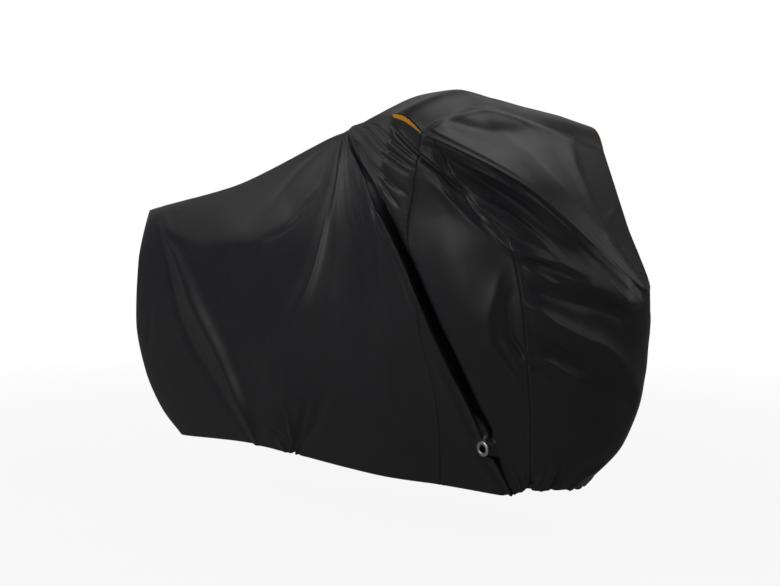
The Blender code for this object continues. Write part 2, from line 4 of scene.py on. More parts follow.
import bmesh
import bpy
import numpy as np
from mathutils import Matrix, Vector, noise


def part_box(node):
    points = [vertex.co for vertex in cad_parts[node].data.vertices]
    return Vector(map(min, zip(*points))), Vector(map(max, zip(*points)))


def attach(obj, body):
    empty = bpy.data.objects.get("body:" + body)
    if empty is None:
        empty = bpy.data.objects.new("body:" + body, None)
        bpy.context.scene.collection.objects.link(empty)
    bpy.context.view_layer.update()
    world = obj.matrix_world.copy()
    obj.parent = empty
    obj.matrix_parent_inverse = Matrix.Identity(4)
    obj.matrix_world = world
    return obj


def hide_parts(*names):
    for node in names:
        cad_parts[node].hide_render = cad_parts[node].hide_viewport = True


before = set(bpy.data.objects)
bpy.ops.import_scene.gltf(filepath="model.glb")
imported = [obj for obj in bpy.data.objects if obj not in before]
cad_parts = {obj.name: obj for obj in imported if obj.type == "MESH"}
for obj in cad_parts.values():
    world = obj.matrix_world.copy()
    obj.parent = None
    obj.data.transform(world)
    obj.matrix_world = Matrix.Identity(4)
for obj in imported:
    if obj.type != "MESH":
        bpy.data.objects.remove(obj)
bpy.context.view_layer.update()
print("frame loaded")

# The cover is drawn in the bicycle's coordinates (x forward from the rear hub, y left, z above the
# ground) and moved at the end, so that the point on the saddle is the frame's origin.
saddlePoint = np.array((0.50, 0.0, 1.179))

# Sections of the right side, from its top edge down to the hem, in order from the tail's centre line
# to the nose's. The left side is their mirror image, led by leftTops where the handlebar is turned.
drops = (0.0, 0.18, 0.38, 0.58, 0.80, 1.0)
sections = (
    # name, place, (top, brow, chest, waist, skirt, hem), arch of the roof
    ("tail", 0.00, ((-0.415, 0.000, 0.930), (-0.477, 0.000, 0.740), (-0.493, 0.000, 0.530),
                    (-0.449, 0.000, 0.346), (-0.362, 0.000, 0.205), (-0.266, 0.000, 0.120)), 0.000),
    ("tail quarter", 0.30, ((-0.378, 0.000, 0.936), (-0.241, -0.080, 0.775), (-0.135, -0.110, 0.572),
                            (-0.037, -0.120, 0.438), (0.067, -0.120, 0.304), (0.145, -0.090, 0.153)), 0.000),
    ("tail cone", 0.42, ((-0.321, 0.000, 0.947), (-0.117, -0.110, 0.751), (0.004, -0.140, 0.594),
                         (0.115, -0.150, 0.436), (0.188, -0.145, 0.293), (0.229, -0.105, 0.152)), 0.000),
    ("back", 0.60, ((0.006, 0.000, 1.010), (0.137, -0.120, 0.843), (0.219, -0.165, 0.639),
                    (0.282, -0.180, 0.468), (0.318, -0.170, 0.309), (0.315, -0.115, 0.148)), 0.000),
    ("saddle", 0.80, ((0.459, 0.000, 1.168), (0.523, -0.130, 0.981), (0.511, -0.175, 0.799),
                      (0.463, -0.195, 0.597), (0.413, -0.185, 0.375), (0.394, -0.120, 0.146)), 0.000),
    ("flank", 1.00, ((0.555, -0.045, 1.188), (0.640, -0.150, 0.985), (0.695, -0.205, 0.795),
                     (0.702, -0.225, 0.591), (0.653, -0.200, 0.363), (0.585, -0.130, 0.135)), 0.005),
    ("grip", 1.18, ((0.908, -0.335, 1.181), (0.858, -0.325, 1.001), (0.840, -0.300, 0.823),
                    (0.843, -0.270, 0.623), (0.816, -0.215, 0.386), (0.757, -0.135, 0.129)), 0.078),
    ("rear seam", 1.32, ((0.992, -0.345, 1.129), (0.960, -0.335, 0.991), (0.927, -0.310, 0.838),
                         (0.944, -0.275, 0.645), (0.965, -0.220, 0.410), (0.926, -0.135, 0.132)), 0.088),
    ("gusset", 1.46, ((1.007, -0.345, 1.123), (1.042, -0.330, 0.984), (1.089, -0.305, 0.827),
                      (1.112, -0.270, 0.632), (1.122, -0.215, 0.410), (1.124, -0.130, 0.128)), 0.088),
    ("front seam", 1.58, ((1.023, -0.345, 1.115), (1.097, -0.310, 0.976), (1.228, -0.275, 0.816),
                          (1.254, -0.250, 0.612), (1.245, -0.200, 0.407), (1.211, -0.130, 0.158)), 0.082),
    ("front quarter", 1.80, ((1.265, -0.250, 0.980), (1.339, -0.190, 0.831), (1.389, -0.160, 0.686),
                             (1.402, -0.145, 0.528), (1.367, -0.120, 0.341), (1.283, -0.080, 0.158)), 0.045),
    ("nose", 2.00, ((1.489, 0.000, 0.709), (1.490, 0.000, 0.632), (1.484, 0.000, 0.537),
                    (1.471, 0.000, 0.428), (1.422, 0.000, 0.286), (1.300, 0.000, 0.146)), 0.000),
)
leftTops = {
    "grip": (1.165, 0.335, 1.180),
    "rear seam": (1.218, 0.315, 1.104),
    "gusset": (1.226, 0.308, 1.090),
    "front seam": (1.236, 0.298, 1.074),
    "front quarter": (1.365, 0.150, 0.885),
}
form = {
    "saddleAt": 0.80,  # the top edge parts here into two, with the roof between them
    "tongueAt": 0.86,  # the hood's tongue ends here
    "rearSeamAt": 1.32,
    "frontSeamAt": 1.58,
    "noseAt": 2.00,
    "roundTops": 5,  # the first sections run round over the ridge
    # the roof's arch, from its right edge to its left, as shares of its width and of its rise
    "archAcross": (0.0, 0.08, 0.20, 0.30, 0.42, 0.62, 0.82, 1.0),
    "archShare": (0.0, 0.40, 0.82, 0.99, 0.93, 0.66, 0.32, 0.0),
    "leftFade": 1.3,  # how soon the left side's lead dies away below the handlebar
}
sides = {"right": -1, "left": 1}
mirrorY = np.array((1.0, -1.0, 1.0))
stations = np.array([row[1] for row in sections])


def calmSlopes(at, values):
    # slopes for a smooth curve through the values that never swings past them
    step = np.diff(at).reshape((-1,) + (1,) * (values.ndim - 1))
    rate = np.diff(values, axis=0) / step
    before, after = 2 * step[1:] + step[:-1], step[1:] + 2 * step[:-1]
    sameWay = rate[1:] * rate[:-1] > 0
    rateBefore = np.where(sameWay, rate[:-1], 1.0)
    rateAfter = np.where(sameWay, rate[1:], 1.0)
    slopes = np.empty_like(values)
    slopes[1:-1] = np.where(sameWay, (before + after) / (before / rateBefore + after / rateAfter), 0.0)
    slopes[0], slopes[-1] = rate[0], rate[-1]
    return slopes


def readCurve(at, values, where):
    # a smooth curve through values (knot, coordinate), the same for every place that is read, or
    # through values (knot, point, coordinate), one curve for each
    at, values = np.asarray(at, dtype=float), np.asarray(values, dtype=float)
    slopes = calmSlopes(at, values)
    knot = np.clip(np.searchsorted(at, where, side="right") - 1, 0, len(at) - 2)
    step = (at[knot + 1] - at[knot])[:, None]
    s = ((where - at[knot]) / (at[knot + 1] - at[knot]))[:, None]
    start, end = (knot,), (knot + 1,)
    if values.ndim == 3:
        start, end = (knot, np.arange(len(where))), (knot + 1, np.arange(len(where)))
    hermite = values[start] * (1 + 2 * s) * (1 - s) ** 2 + values[end] * s * s * (3 - 2 * s)
    return hermite + slopes[start] * step * s * (1 - s) ** 2 + slopes[end] * step * s * s * (s - 1)


def smoothStep(x):
    x = np.clip(x, 0.0, 1.0)
    return x * x * (3 - 2 * x)


def unit(vectors):
    return vectors / np.maximum(np.linalg.norm(vectors, axis=1, keepdims=True), 1e-12)


def sectionPoints(drop, side):
    levels = np.array(drops)
    leadLeft = (1 - levels) ** form["leftFade"]
    found = []
    for index, (name, _, points, _) in enumerate(sections):
        points = np.array(points)
        if side > 0:
            points = points * mirrorY
            points = points + (np.array(leftTops.get(name, points[0])) - points[0]) * leadLeft[:, None]
        knots = levels
        if index < form["roundTops"]:
            knots = np.concatenate(([-levels[1]], levels))
            points = np.concatenate(([points[1] * mirrorY], points))
        found.append(readCurve(knots, points, drop))
    return np.array(found)


def sideForm(at, drop, side):
    here, there = sectionPoints(drop, side), sectionPoints(drop, -side)
    rows = np.concatenate((there[1:2], here, there[-2:-1]))
    places = np.concatenate(([-stations[1]], stations, [2 * stations[-1] - stations[-2]]))
    return readCurve(places, rows, at)


def roofForm(at, across):
    edge = np.zeros_like(at)
    right, left = sideForm(at, edge, -1), sideForm(at, edge, 1)
    arches = np.array([row[3] for row in sections])[:, None]
    arch = readCurve(stations, arches, at)[:, 0]
    points = right * (1 - across[:, None]) + left * across[:, None]
    points[:, 2] += arch * readCurve(form["archAcross"], np.array(form["archShare"])[:, None], across)[:, 0]
    return points


def formPoints(at, down, patch):
    return roofForm(at, down) if patch == "roof" else sideForm(at, down, sides[patch])


def tangents(at, down, patch):
    # how the form runs along the patch and down it
    tiny = 1e-3
    low, high = (form["saddleAt"], form["noseAt"]) if patch == "roof" else (0.0, form["noseAt"])
    ahead, behind = np.clip(at + tiny, low, high), np.clip(at - tiny, low, high)
    below, above = np.clip(down + tiny, 0, 1), np.clip(down - tiny, 0, 1)
    along = (formPoints(ahead, down, patch) - formPoints(behind, down, patch)) / (ahead - behind)[:, None]
    fall = (formPoints(at, below, patch) - formPoints(at, above, patch)) / (below - above)[:, None]
    return along, fall


def outward(along, fall, patch):
    return unit(np.cross(fall, along) if patch == "right" else np.cross(along, fall))


# Folds. A path follows (place, drop) on its patch, with the fold's rise there in millimetres, less
# than nothing for a valley, and its half width towards the tail or hem. ahead is the other half
# width's share of that, lean carries the crest ahead by a share of its rise, and crisp is 0 for a
# round fold and 1 for a crease.
folds = (
    # name, patch, ahead, lean, crisp, ((place, drop, rise, half width), ...)
    ("pleat crest", "right", 0.4, 0.7, 0.75, (
        (0.843, 0.000, 0, 4), (0.915, 0.045, 5, 6), (1.012, 0.110, 10, 9), (1.097, 0.193, 14, 12),
        (1.213, 0.330, 17, 16), (1.292, 0.448, 19, 19), (1.330, 0.557, 20, 21), (1.353, 0.655, 20, 21),
        (1.375, 0.745, 18, 19), (1.407, 0.828, 15, 15), (1.427, 0.880, 12, 12), (1.463, 0.945, 9, 10),
        (1.492, 0.998, 8, 9), (1.510, 1.030, 8, 9))),
    ("pleat crest swell", "right", 0.2, 0, 0.1, (
        (0.965, 0.070, 0, 20), (1.105, 0.240, 6, 40), (1.255, 0.445, 13, 70), (1.320, 0.642, 14, 80),
        (1.370, 0.807, 10, 70), (1.427, 0.930, 4, 40), (1.472, 0.988, 0, 30))),
    ("pleat valley", "right", 0.8, 0.35, 0.12, (
        (0.888, 0.020, 0, 3), (0.953, 0.048, -6, 3), (1.032, 0.113, -15, 5), (1.135, 0.200, -26, 10),
        (1.257, 0.338, -33, 11), (1.325, 0.456, -42, 12), (1.355, 0.557, -52, 12),
        (1.377, 0.650, -50, 11), (1.398, 0.743, -48, 12), (1.429, 0.825, -36, 10),
        (1.459, 0.876, -24, 6.5), (1.464, 0.930, -15, 6), (1.490, 0.985, -10, 6),
        (1.515, 1.030, -9, 6))),
    ("pleat back line", "right", 1, 0, 0.6, (
        (1.028, 0.170, 0, 6), (1.153, 0.288, -2.5, 7), (1.258, 0.435, -3.5, 9), (1.302, 0.542, -3, 9),
        (1.333, 0.655, -2, 9), (1.363, 0.750, 0, 9))),
    ("saddle ridge", "right", 0.5, 0, 0.8, (
        (0.840, 0.035, 0, 6), (0.827, 0.092, 5, 12), (0.817, 0.168, 7, 19), (0.818, 0.273, 8.5, 25),
        (0.814, 0.380, 9, 27), (0.806, 0.495, 8.5, 33), (0.765, 0.573, 6, 46), (0.670, 0.615, 3.5, 56),
        (0.552, 0.703, 0, 60))),
    ("saddle ridge swell", "right", 2, 0, 0, (
        (0.838, 0.045, 0, 20), (0.824, 0.147, 5, 40), (0.820, 0.290, 12, 56), (0.805, 0.495, 15, 70),
        (0.740, 0.618, 10, 90), (0.580, 0.728, 0, 90))),
    ("slope shoulder", "right", 2.6, 0, 0.5, (
        (0.352, 0.080, 0, 10), (0.453, 0.120, 7, 20), (0.505, 0.168, 13, 32), (0.598, 0.205, 14, 36),
        (0.655, 0.228, 12, 34), (0.705, 0.223, 8, 22), (0.735, 0.165, 4, 14), (0.755, 0.133, 0, 8))),
    ("slope shoulder foot", "right", 0.7, 0, 0.4, (
        (0.647, 0.233, 0, 8), (0.680, 0.238, -5, 11), (0.710, 0.228, -7, 12), (0.730, 0.188, -6, 11),
        (0.748, 0.147, 0, 9))),
    ("slope streak", "right", 1, 0, 0.5, (
        (0.667, 0.130, 0, 8), (0.690, 0.107, -3, 8), (0.713, 0.088, -4, 8), (0.738, 0.070, -3.5, 7),
        (0.770, 0.060, 0, 6))),
    ("tail cone", "right", 0.75, 0, 0.2, (
        (0.330, 0.075, 0, 6), (0.352, 0.126, 5.5, 16), (0.374, 0.178, 8.5, 26), (0.388, 0.328, 21, 50),
        (0.391, 0.499, 26, 52), (0.387, 0.677, 26, 40), (0.380, 0.853, 16, 36), (0.354, 0.978, 6, 17),
        (0.342, 1.030, 5, 18))),
    ("tail cone foot", "right", 1.5, 0, 0.6, (
        (0.268, 0.083, 0, 4), (0.280, 0.203, -4, 9), (0.275, 0.355, -7, 12), (0.263, 0.578, -9, 13),
        (0.280, 0.802, -8, 12), (0.310, 0.985, -3, 8), (0.317, 1.030, -3, 8))),
    ("tail end dip", "right", 1, 0, 0.3, (
        (0.168, 0.320, 0, 10), (0.138, 0.410, -4, 14), (0.095, 0.520, 0, 14))),
    ("tail crumple", "right", 0.8, 0, 0.6, (
        (0.265, 0.393, 0, 6), (0.253, 0.497, 3, 8), (0.255, 0.618, 3, 8), (0.263, 0.715, 0, 7))),
    ("fan valley 1", "right", 0.9, 0, 0.3, (
        (0.939, 0.015, 0, 2.5), (0.975, 0.036, -6, 3.5), (1.017, 0.058, -8, 4.5),
        (1.080, 0.108, -9, 5.5), (1.167, 0.158, -9, 6.5), (1.227, 0.190, -6, 7), (1.303, 0.215, 0, 8))),
    ("fan valley 2", "right", 0.9, 0, 0.3, (
        (1.000, 0.010, 0, 2.5), (1.032, 0.028, -6, 3.5), (1.083, 0.062, -8, 4.5),
        (1.143, 0.100, -8, 5.5), (1.200, 0.124, -7, 6.5), (1.262, 0.140, -4, 7), (1.310, 0.145, 0, 8))),
    ("fan valley 3", "right", 0.9, 0, 0.3, (
        (1.040, 0.010, 0, 2.5), (1.068, 0.024, -6, 3.5), (1.113, 0.058, -8, 4.5), (1.173, 0.092, -9, 6),
        (1.227, 0.110, -8, 7), (1.285, 0.120, -4, 7), (1.330, 0.122, 0, 7))),
    ("fan valley 4", "right", 0.9, 0, 0.3, (
        (1.080, 0.010, 0, 2.5), (1.107, 0.022, -5, 3.5), (1.143, 0.046, -7, 5), (1.194, 0.073, -8, 6),
        (1.242, 0.085, -8, 6), (1.300, 0.092, -4, 6), (1.350, 0.096, 0, 6))),
    ("fan valley 5", "right", 0.9, 0, 0.3, (
        (0.921, 0.019, 0, 2), (0.965, 0.045, -4, 3), (1.011, 0.070, -5.5, 4), (1.077, 0.122, -6, 5),
        (1.155, 0.175, -6, 6), (1.215, 0.222, -5, 7), (1.279, 0.262, 0, 8))),
    ("grip valley", "right", 0.75, 0, 0.3, (
        (1.150, 0.015, 0, 4), (1.213, 0.055, -10, 7), (1.323, 0.077, -15, 9), (1.448, 0.115, -13, 9),
        (1.525, 0.152, -15, 11), (1.573, 0.190, -15, 12), (1.565, 0.240, -9, 11),
        (1.555, 0.292, 0, 9))),
    ("grip crest", "right", 0.9, 0, 0.6, (
        (1.188, 0.033, 0, 4), (1.240, 0.055, 4, 6), (1.312, 0.065, 4, 6), (1.430, 0.095, 4, 7),
        (1.532, 0.138, 0, 7))),
    ("grip valley lower lip", "right", 0.5, 0, 0.45, (
        (1.350, 0.133, 0, 12), (1.445, 0.190, 4, 16), (1.495, 0.242, 6, 18), (1.525, 0.315, 5, 18),
        (1.550, 0.385, 0, 16))),
    ("brow hollow", "right", 0.75, 0, 0.12, (
        (1.305, 0.033, 0, 12), (1.570, 0.062, -11, 20), (1.650, 0.098, -19, 30),
        (1.700, 0.138, -22, 36), (1.752, 0.163, -15, 34), (1.798, 0.180, -5, 30),
        (1.848, 0.152, 0, 25))),
    ("crease undercut", "right", 0.8, 0, 0.45, (
        (1.445, 0.010, 0, 3), (1.650, 0.003, -4, 4), (1.710, 0.003, -6, 5), (1.758, 0.015, -6, 5),
        (1.800, 0.025, -6, 5), (1.830, 0.040, -5, 5), (1.860, 0.043, 0, 5))),
    ("brow streak 1", "right", 0.8, 0, 0.65, (
        (1.617, 0.050, 0, 5), (1.663, 0.060, 4, 7), (1.720, 0.055, 6, 9), (1.775, 0.052, 6, 10),
        (1.808, 0.090, 0, 10))),
    ("brow streak 1 foot", "right", 0.8, 0, 0.4, (
        (1.625, 0.100, 0, 5), (1.673, 0.115, -5, 8), (1.725, 0.118, -5, 9), (1.760, 0.145, 0, 9))),
    ("brow streak 2", "right", 0.8, 0, 0.65, (
        (1.603, 0.158, 0, 5), (1.635, 0.190, 5, 8), (1.683, 0.193, 7, 10), (1.720, 0.217, 5, 11),
        (1.758, 0.240, 0, 12))),
    ("brow streak 2 foot", "right", 0.9, 0, 0.3, (
        (1.583, 0.240, 0, 6), (1.603, 0.288, -6, 10), (1.640, 0.312, -8, 12), (1.708, 0.295, 0, 12))),
    ("corner crest", "right", 0.9, 0, 0.5, (
        (1.555, 0.292, 0, 6), (1.564, 0.351, 6, 8), (1.597, 0.381, 10, 11), (1.660, 0.365, 8, 13),
        (1.744, 0.315, 4, 16), (1.810, 0.280, 0, 18))),
    ("corner valley", "right", 0.8, 0, 0.3, (
        (1.585, 0.405, 0, 5), (1.625, 0.391, -8, 7), (1.688, 0.368, -11, 10), (1.755, 0.330, -8, 12),
        (1.820, 0.285, 0, 14))),
    ("corner fold", "right", 0.9, 0, 0.6, (
        (1.598, 0.415, 0, 5), (1.630, 0.420, 8, 9), (1.673, 0.420, 10, 12), (1.718, 0.400, 6, 12),
        (1.785, 0.362, 0, 12))),
    ("front shoulder", "right", 4.2, 0, 0.25, (
        (1.680, 0.375, 0, 12), (1.760, 0.345, 12, 16), (1.840, 0.290, 24, 18), (1.900, 0.225, 26, 17),
        (1.945, 0.150, 14, 12), (1.985, 0.060, 0, 10))),
    ("corner lower valley", "right", 0.9, 0, 0.2, (
        (1.603, 0.458, 0, 8), (1.655, 0.458, -7, 14), (1.750, 0.422, -9, 18), (1.870, 0.325, -7, 18),
        (1.963, 0.182, 0, 16))),
    ("front ridge", "right", 1.5, 0, 0.66, (
        (1.580, 0.508, 2, 5), (1.630, 0.518, 12, 9), (1.688, 0.529, 20, 13), (1.770, 0.524, 19, 17),
        (1.860, 0.505, 17, 24), (1.985, 0.522, 0, 20))),
    ("front ridge hollow", "right", 0.8, 0, 0.15, (
        (1.578, 0.575, 0, 10), (1.637, 0.605, -13, 24), (1.730, 0.615, -18, 32),
        (1.843, 0.610, -15, 32), (1.975, 0.623, -8, 28))),
    ("small belly", "right", 0.8, 0, 0.65, (
        (1.580, 0.635, 2, 4), (1.605, 0.657, 6, 6), (1.647, 0.655, 8, 8), (1.693, 0.662, 6, 9),
        (1.790, 0.667, 0, 11))),
    ("small belly hollow", "right", 0.9, 0, 0.3, (
        (1.573, 0.675, -2, 4), (1.610, 0.693, -7, 7), (1.657, 0.690, -6, 8), (1.718, 0.703, 0, 9))),
    ("lens edge", "right", 0.35, 0, 0.55, (
        (1.545, 0.430, 0, 24), (1.522, 0.503, 7, 30), (1.502, 0.573, 11, 32), (1.502, 0.628, 10, 26),
        (1.525, 0.685, 6, 16), (1.555, 0.745, 3, 10), (1.570, 0.792, 0, 8))),
    ("lens hollow", "right", 0.9, 0, 0.15, (
        (1.562, 0.470, 0, 12), (1.540, 0.542, -9, 17), (1.540, 0.600, -11, 15), (1.560, 0.645, -9, 10),
        (1.575, 0.675, 0, 6))),
    ("lens fold", "right", 0.9, 0, 0.65, (
        (1.520, 0.625, 0, 4), (1.535, 0.655, 6, 6), (1.552, 0.688, 6, 6), (1.570, 0.720, 0, 5))),
    ("gusset swell", "right", 1, 0, 0, (
        (1.427, 0.280, 0, 50), (1.440, 0.420, 8, 70), (1.455, 0.552, 8, 70), (1.475, 0.720, 5, 55),
        (1.500, 0.863, 0, 40))),
    ("hem pleat 1", "right", 1, 0, 0.4, (
        (1.403, 0.888, 0, 4), (1.420, 0.920, -6, 7), (1.440, 0.953, -9, 8), (1.470, 0.995, -9, 8),
        (1.495, 1.030, -9, 8))),
    ("hem crest 1", "right", 1, 0, 0.5, (
        (1.438, 0.902, 0, 4), (1.460, 0.935, 5, 6), (1.500, 0.995, 6, 6), (1.523, 1.030, 6, 6))),
    ("hem crest 2", "right", 1, 0, 0.4, (
        (1.450, 0.850, 0, 6), (1.478, 0.895, 6, 9), (1.508, 0.940, 7, 9), (1.538, 0.998, 5, 7),
        (1.555, 1.030, 5, 7))),
    ("hem valley 2", "right", 1, 0, 0.4, (
        (1.463, 0.865, 0, 5), (1.492, 0.915, -6, 7), (1.532, 0.973, -7, 7), (1.550, 1.000, -5, 6),
        (1.570, 1.030, -5, 6))),
    ("hem pucker 1", "right", 1, 0, 0.5, (
        (1.630, 0.940, 0, 6), (1.603, 0.975, -6, 7), (1.555, 1.000, -7, 5), (1.497, 1.030, -7, 5))),
    ("hem pucker 2", "right", 1, 0, 0.5, (
        (1.705, 0.922, 0, 7), (1.690, 0.965, 7, 8), (1.650, 1.000, 6, 6), (1.616, 1.030, 6, 6))),
    ("hem pucker 3", "right", 1, 0, 0.4, (
        (1.740, 0.895, 0, 9), (1.740, 0.945, -7, 9), (1.718, 1.000, -7, 6), (1.706, 1.030, -7, 6))),
    ("nose curl", "right", 0.8, 0, 0.6, (
        (1.873, 1.000, 6, 5), (1.890, 0.960, 10, 8), (1.940, 0.907, 9, 11), (2.000, 0.853, 5, 13),
        (2.000, 0.780, 0, 13))),
    ("nose curl foot", "right", 0.8, 0, 0.4, (
        (1.923, 1.000, -6, 4), (2.000, 0.980, -9, 7), (2.000, 0.932, -7, 8), (2.000, 0.873, 0, 8))),
    ("tail pleat 1", "right", 1, 0, 0.35, (
        (0.868, 0.802, 0, 9), (0.848, 0.870, -9, 12), (0.797, 0.938, -11, 11), (0.715, 0.990, -8, 7),
        (0.652, 1.030, -8, 7))),
    ("tail pleat 2", "right", 1, 0, 0.45, (
        (0.503, 0.890, 0, 6), (0.590, 0.935, -7, 8), (0.680, 0.988, -6, 6), (0.751, 1.030, -6, 6))),
    ("tail pleat 3", "right", 0.9, 0, 0.25, (
        (0.895, 0.718, 0, 20), (0.910, 0.802, -5, 22), (0.878, 0.900, -8, 16), (0.775, 0.983, -5, 9),
        (0.717, 1.030, -5, 9))),
    ("tail pleat crest", "right", 1, 0, 0.5, (
        (0.723, 0.840, 0, 10), (0.743, 0.907, 5, 10), (0.693, 0.988, 6, 6), (0.667, 1.030, 6, 6))),
    ("tail pleat crest 2", "right", 1, 0, 0.5, (
        (0.878, 0.818, 0, 9), (0.855, 0.897, 5, 9), (0.765, 0.980, 6, 6), (0.711, 1.030, 6, 6))),
    ("apex line 1", "right", 1, 0, 0.4, (
        (0.890, 0.045, 0, 7), (0.915, 0.110, -2.5, 10), (0.965, 0.208, -1, 15), (1.000, 0.365, 0, 20))),
    ("apex line 2", "right", 1, 0, 0.4, (
        (0.940, 0.048, 0, 7), (0.995, 0.113, 1, 10), (1.035, 0.212, 2, 15), (1.123, 0.365, 0, 18))),
    ("roof streak", "roof", 1, 0, 0.2, (
        (1.240, 0.145, 0, 26), (1.320, 0.195, 1, 30), (1.590, 0.280, 2, 38), (1.600, 0.445, 3, 46),
        (1.440, 0.665, 0, 32))),
    ("roof crescent", "roof", 0.5, 0, 0.1, (
        (1.420, 0.090, 0, 30), (1.558, 0.125, -6, 40), (1.632, 0.170, -9, 50), (1.659, 0.240, -9, 55),
        (1.651, 0.360, -8, 55), (1.598, 0.520, -4, 45), (1.500, 0.600, 0, 40))),
    ("roof far edge", "roof", 0.6, 0, 0.3, (
        (1.190, 0.850, 0, 26), (1.620, 0.755, 5, 42), (1.705, 0.675, 9, 38), (1.785, 0.600, 7, 36),
        (1.863, 0.435, 4, 30), (1.897, 0.240, 0, 24))),
    ("roof small fold", "roof", 0.8, 0, 0.6, (
        (1.743, 0.980, 0, 8), (1.810, 0.810, 5, 10), (1.875, 0.440, 4, 12), (1.900, 0.065, 0, 12))),
    ("crease lip", "roof", 0.8, 0, 0.6, (
        (1.340, 0.030, 0, 4), (1.450, 0.032, 2.5, 5), (1.600, 0.034, 3, 6), (1.720, 0.036, 3, 6),
        (1.820, 0.040, 0, 6))),
    ("roof rise", "roof", 1, 0, 0, (
        (1.050, 0.100, 0, 40), (1.090, 0.200, 12, 50), (1.120, 0.220, 16, 50), (1.150, 0.270, 9, 50),
        (1.180, 0.350, 0, 45))),
    ("roof sag", "roof", 1, 0, 0, (
        (1.170, 0.360, 0, 50), (1.200, 0.450, -7, 60), (1.200, 0.600, -7, 60), (1.200, 0.800, 0, 50))),
    ("left pleat crest", "left", 0.4, 0.3, 0.6, (
        (0.910, 0.030, 0, 8), (0.980, 0.100, 8, 16), (1.100, 0.220, 14, 24), (1.235, 0.360, 18, 30),
        (1.310, 0.500, 19, 32), (1.358, 0.650, 18, 30), (1.408, 0.820, 14, 22), (1.475, 1.000, 10, 14))),
    ("left pleat valley", "left", 0.85, -0.1, 0.12, (
        (0.935, 0.030, 0, 4), (1.010, 0.100, -10, 8), (1.135, 0.220, -20, 11), (1.265, 0.360, -30, 14),
        (1.335, 0.500, -34, 15), (1.380, 0.650, -32, 15), (1.432, 0.820, -22, 11),
        (1.502, 1.000, -10, 8))),
    ("left saddle ridge", "left", 0.7, 0.1, 0.7, (
        (0.812, 0.040, 0, 8), (0.797, 0.150, 14, 20), (0.800, 0.300, 20, 28), (0.805, 0.450, 18, 36),
        (0.790, 0.600, 12, 46), (0.760, 0.780, 0, 60))),
    ("left saddle swell", "left", 0.9, 0, 0, (
        (0.820, 0.060, 0, 20), (0.800, 0.220, 12, 60), (0.810, 0.420, 16, 85), (0.790, 0.650, 0, 90))),
    ("left slope shoulder", "left", 2.2, 0, 0.45, (
        (0.360, 0.070, 0, 12), (0.440, 0.130, 9, 24), (0.540, 0.190, 13, 34), (0.650, 0.220, 11, 32),
        (0.730, 0.170, 5, 18), (0.765, 0.110, 0, 10))),
    ("left tail cone", "left", 0.45, 0, 0.55, (
        (0.355, 0.070, 0, 6), (0.390, 0.170, 14, 24), (0.410, 0.340, 26, 44), (0.410, 0.540, 28, 50),
        (0.400, 0.760, 18, 36), (0.400, 0.960, 5, 20))),
    ("left tail foot", "left", 1.4, 0, 0.5, (
        (0.290, 0.080, 0, 5), (0.300, 0.240, -6, 11), (0.295, 0.450, -8, 13), (0.300, 0.700, -7, 12),
        (0.310, 0.980, 0, 8))),
    ("left flank fold", "left", 0.9, 0, 0.35, (
        (0.700, 0.240, 0, 14), (0.640, 0.400, 9, 26), (0.580, 0.580, 10, 30), (0.530, 0.800, 0, 34))),
    ("left flank dip", "left", 1, 0, 0.2, (
        (0.600, 0.300, 0, 20), (0.560, 0.480, -8, 34), (0.520, 0.660, -8, 36), (0.500, 0.860, 0, 30))),
    ("left apex line 1", "left", 1, 0, 0.4, (
        (0.845, 0.020, 0, 5), (0.860, 0.100, -6, 9), (0.890, 0.240, -7, 14), (0.930, 0.440, 0, 20))),
    ("left apex line 2", "left", 1, 0, 0.5, (
        (0.870, 0.020, 0, 5), (0.910, 0.120, 6, 9), (0.970, 0.260, 6, 14), (1.030, 0.460, 0, 20))),
    ("left fan valley 1", "left", 0.9, 0, 0.35, (
        (0.960, 0.015, 0, 3), (1.060, 0.085, -6, 5), (1.160, 0.160, -8, 7), (1.240, 0.235, -6, 8),
        (1.290, 0.310, 0, 9))),
    ("left fan crest 1", "left", 0.9, 0, 0.55, (
        (0.985, 0.013, 0, 3), (1.080, 0.080, 5, 5), (1.180, 0.150, 6, 7), (1.270, 0.225, 0, 8))),
    ("left fan valley 2", "left", 0.9, 0, 0.35, (
        (1.010, 0.011, 0, 3), (1.100, 0.072, -6, 5), (1.200, 0.130, -8, 7), (1.290, 0.185, 0, 8))),
    ("left fan crest 2", "left", 0.9, 0, 0.55, (
        (1.040, 0.010, 0, 3), (1.130, 0.066, 5, 6), (1.220, 0.110, 6, 7), (1.300, 0.145, 0, 8))),
    ("left grip valley", "left", 0.8, 0, 0.3, (
        (1.100, 0.012, 0, 4), (1.200, 0.055, -11, 8), (1.320, 0.085, -14, 11), (1.440, 0.120, -14, 12),
        (1.550, 0.190, 0, 10))),
    ("left grip lip", "left", 0.8, 0, 0.45, (
        (1.220, 0.090, 0, 10), (1.330, 0.125, 6, 14), (1.450, 0.170, 6, 16), (1.550, 0.240, 0, 14))),
    ("left brow hollow", "left", 0.8, 0, 0.15, (
        (1.400, 0.050, 0, 16), (1.550, 0.100, -13, 28), (1.680, 0.150, -17, 36), (1.800, 0.170, -10, 34),
        (1.900, 0.170, 0, 28))),
    ("left brow streak", "left", 0.8, 0, 0.6, (
        (1.560, 0.130, 0, 6), (1.640, 0.190, 7, 10), (1.740, 0.230, 7, 12), (1.840, 0.230, 0, 12))),
    ("left front shoulder", "left", 2, 0, 0.4, (
        (1.600, 0.300, 0, 18), (1.700, 0.330, 4, 28), (1.800, 0.340, 4, 32), (1.900, 0.330, 2, 28),
        (1.960, 0.330, 0, 20))),
    ("left front valley", "left", 0.8, 0, 0.3, (
        (1.600, 0.360, 0, 8), (1.700, 0.385, -10, 13), (1.800, 0.390, -11, 15), (1.920, 0.380, 0, 14))),
    ("left front ridge", "left", 1.4, 0, 0.6, (
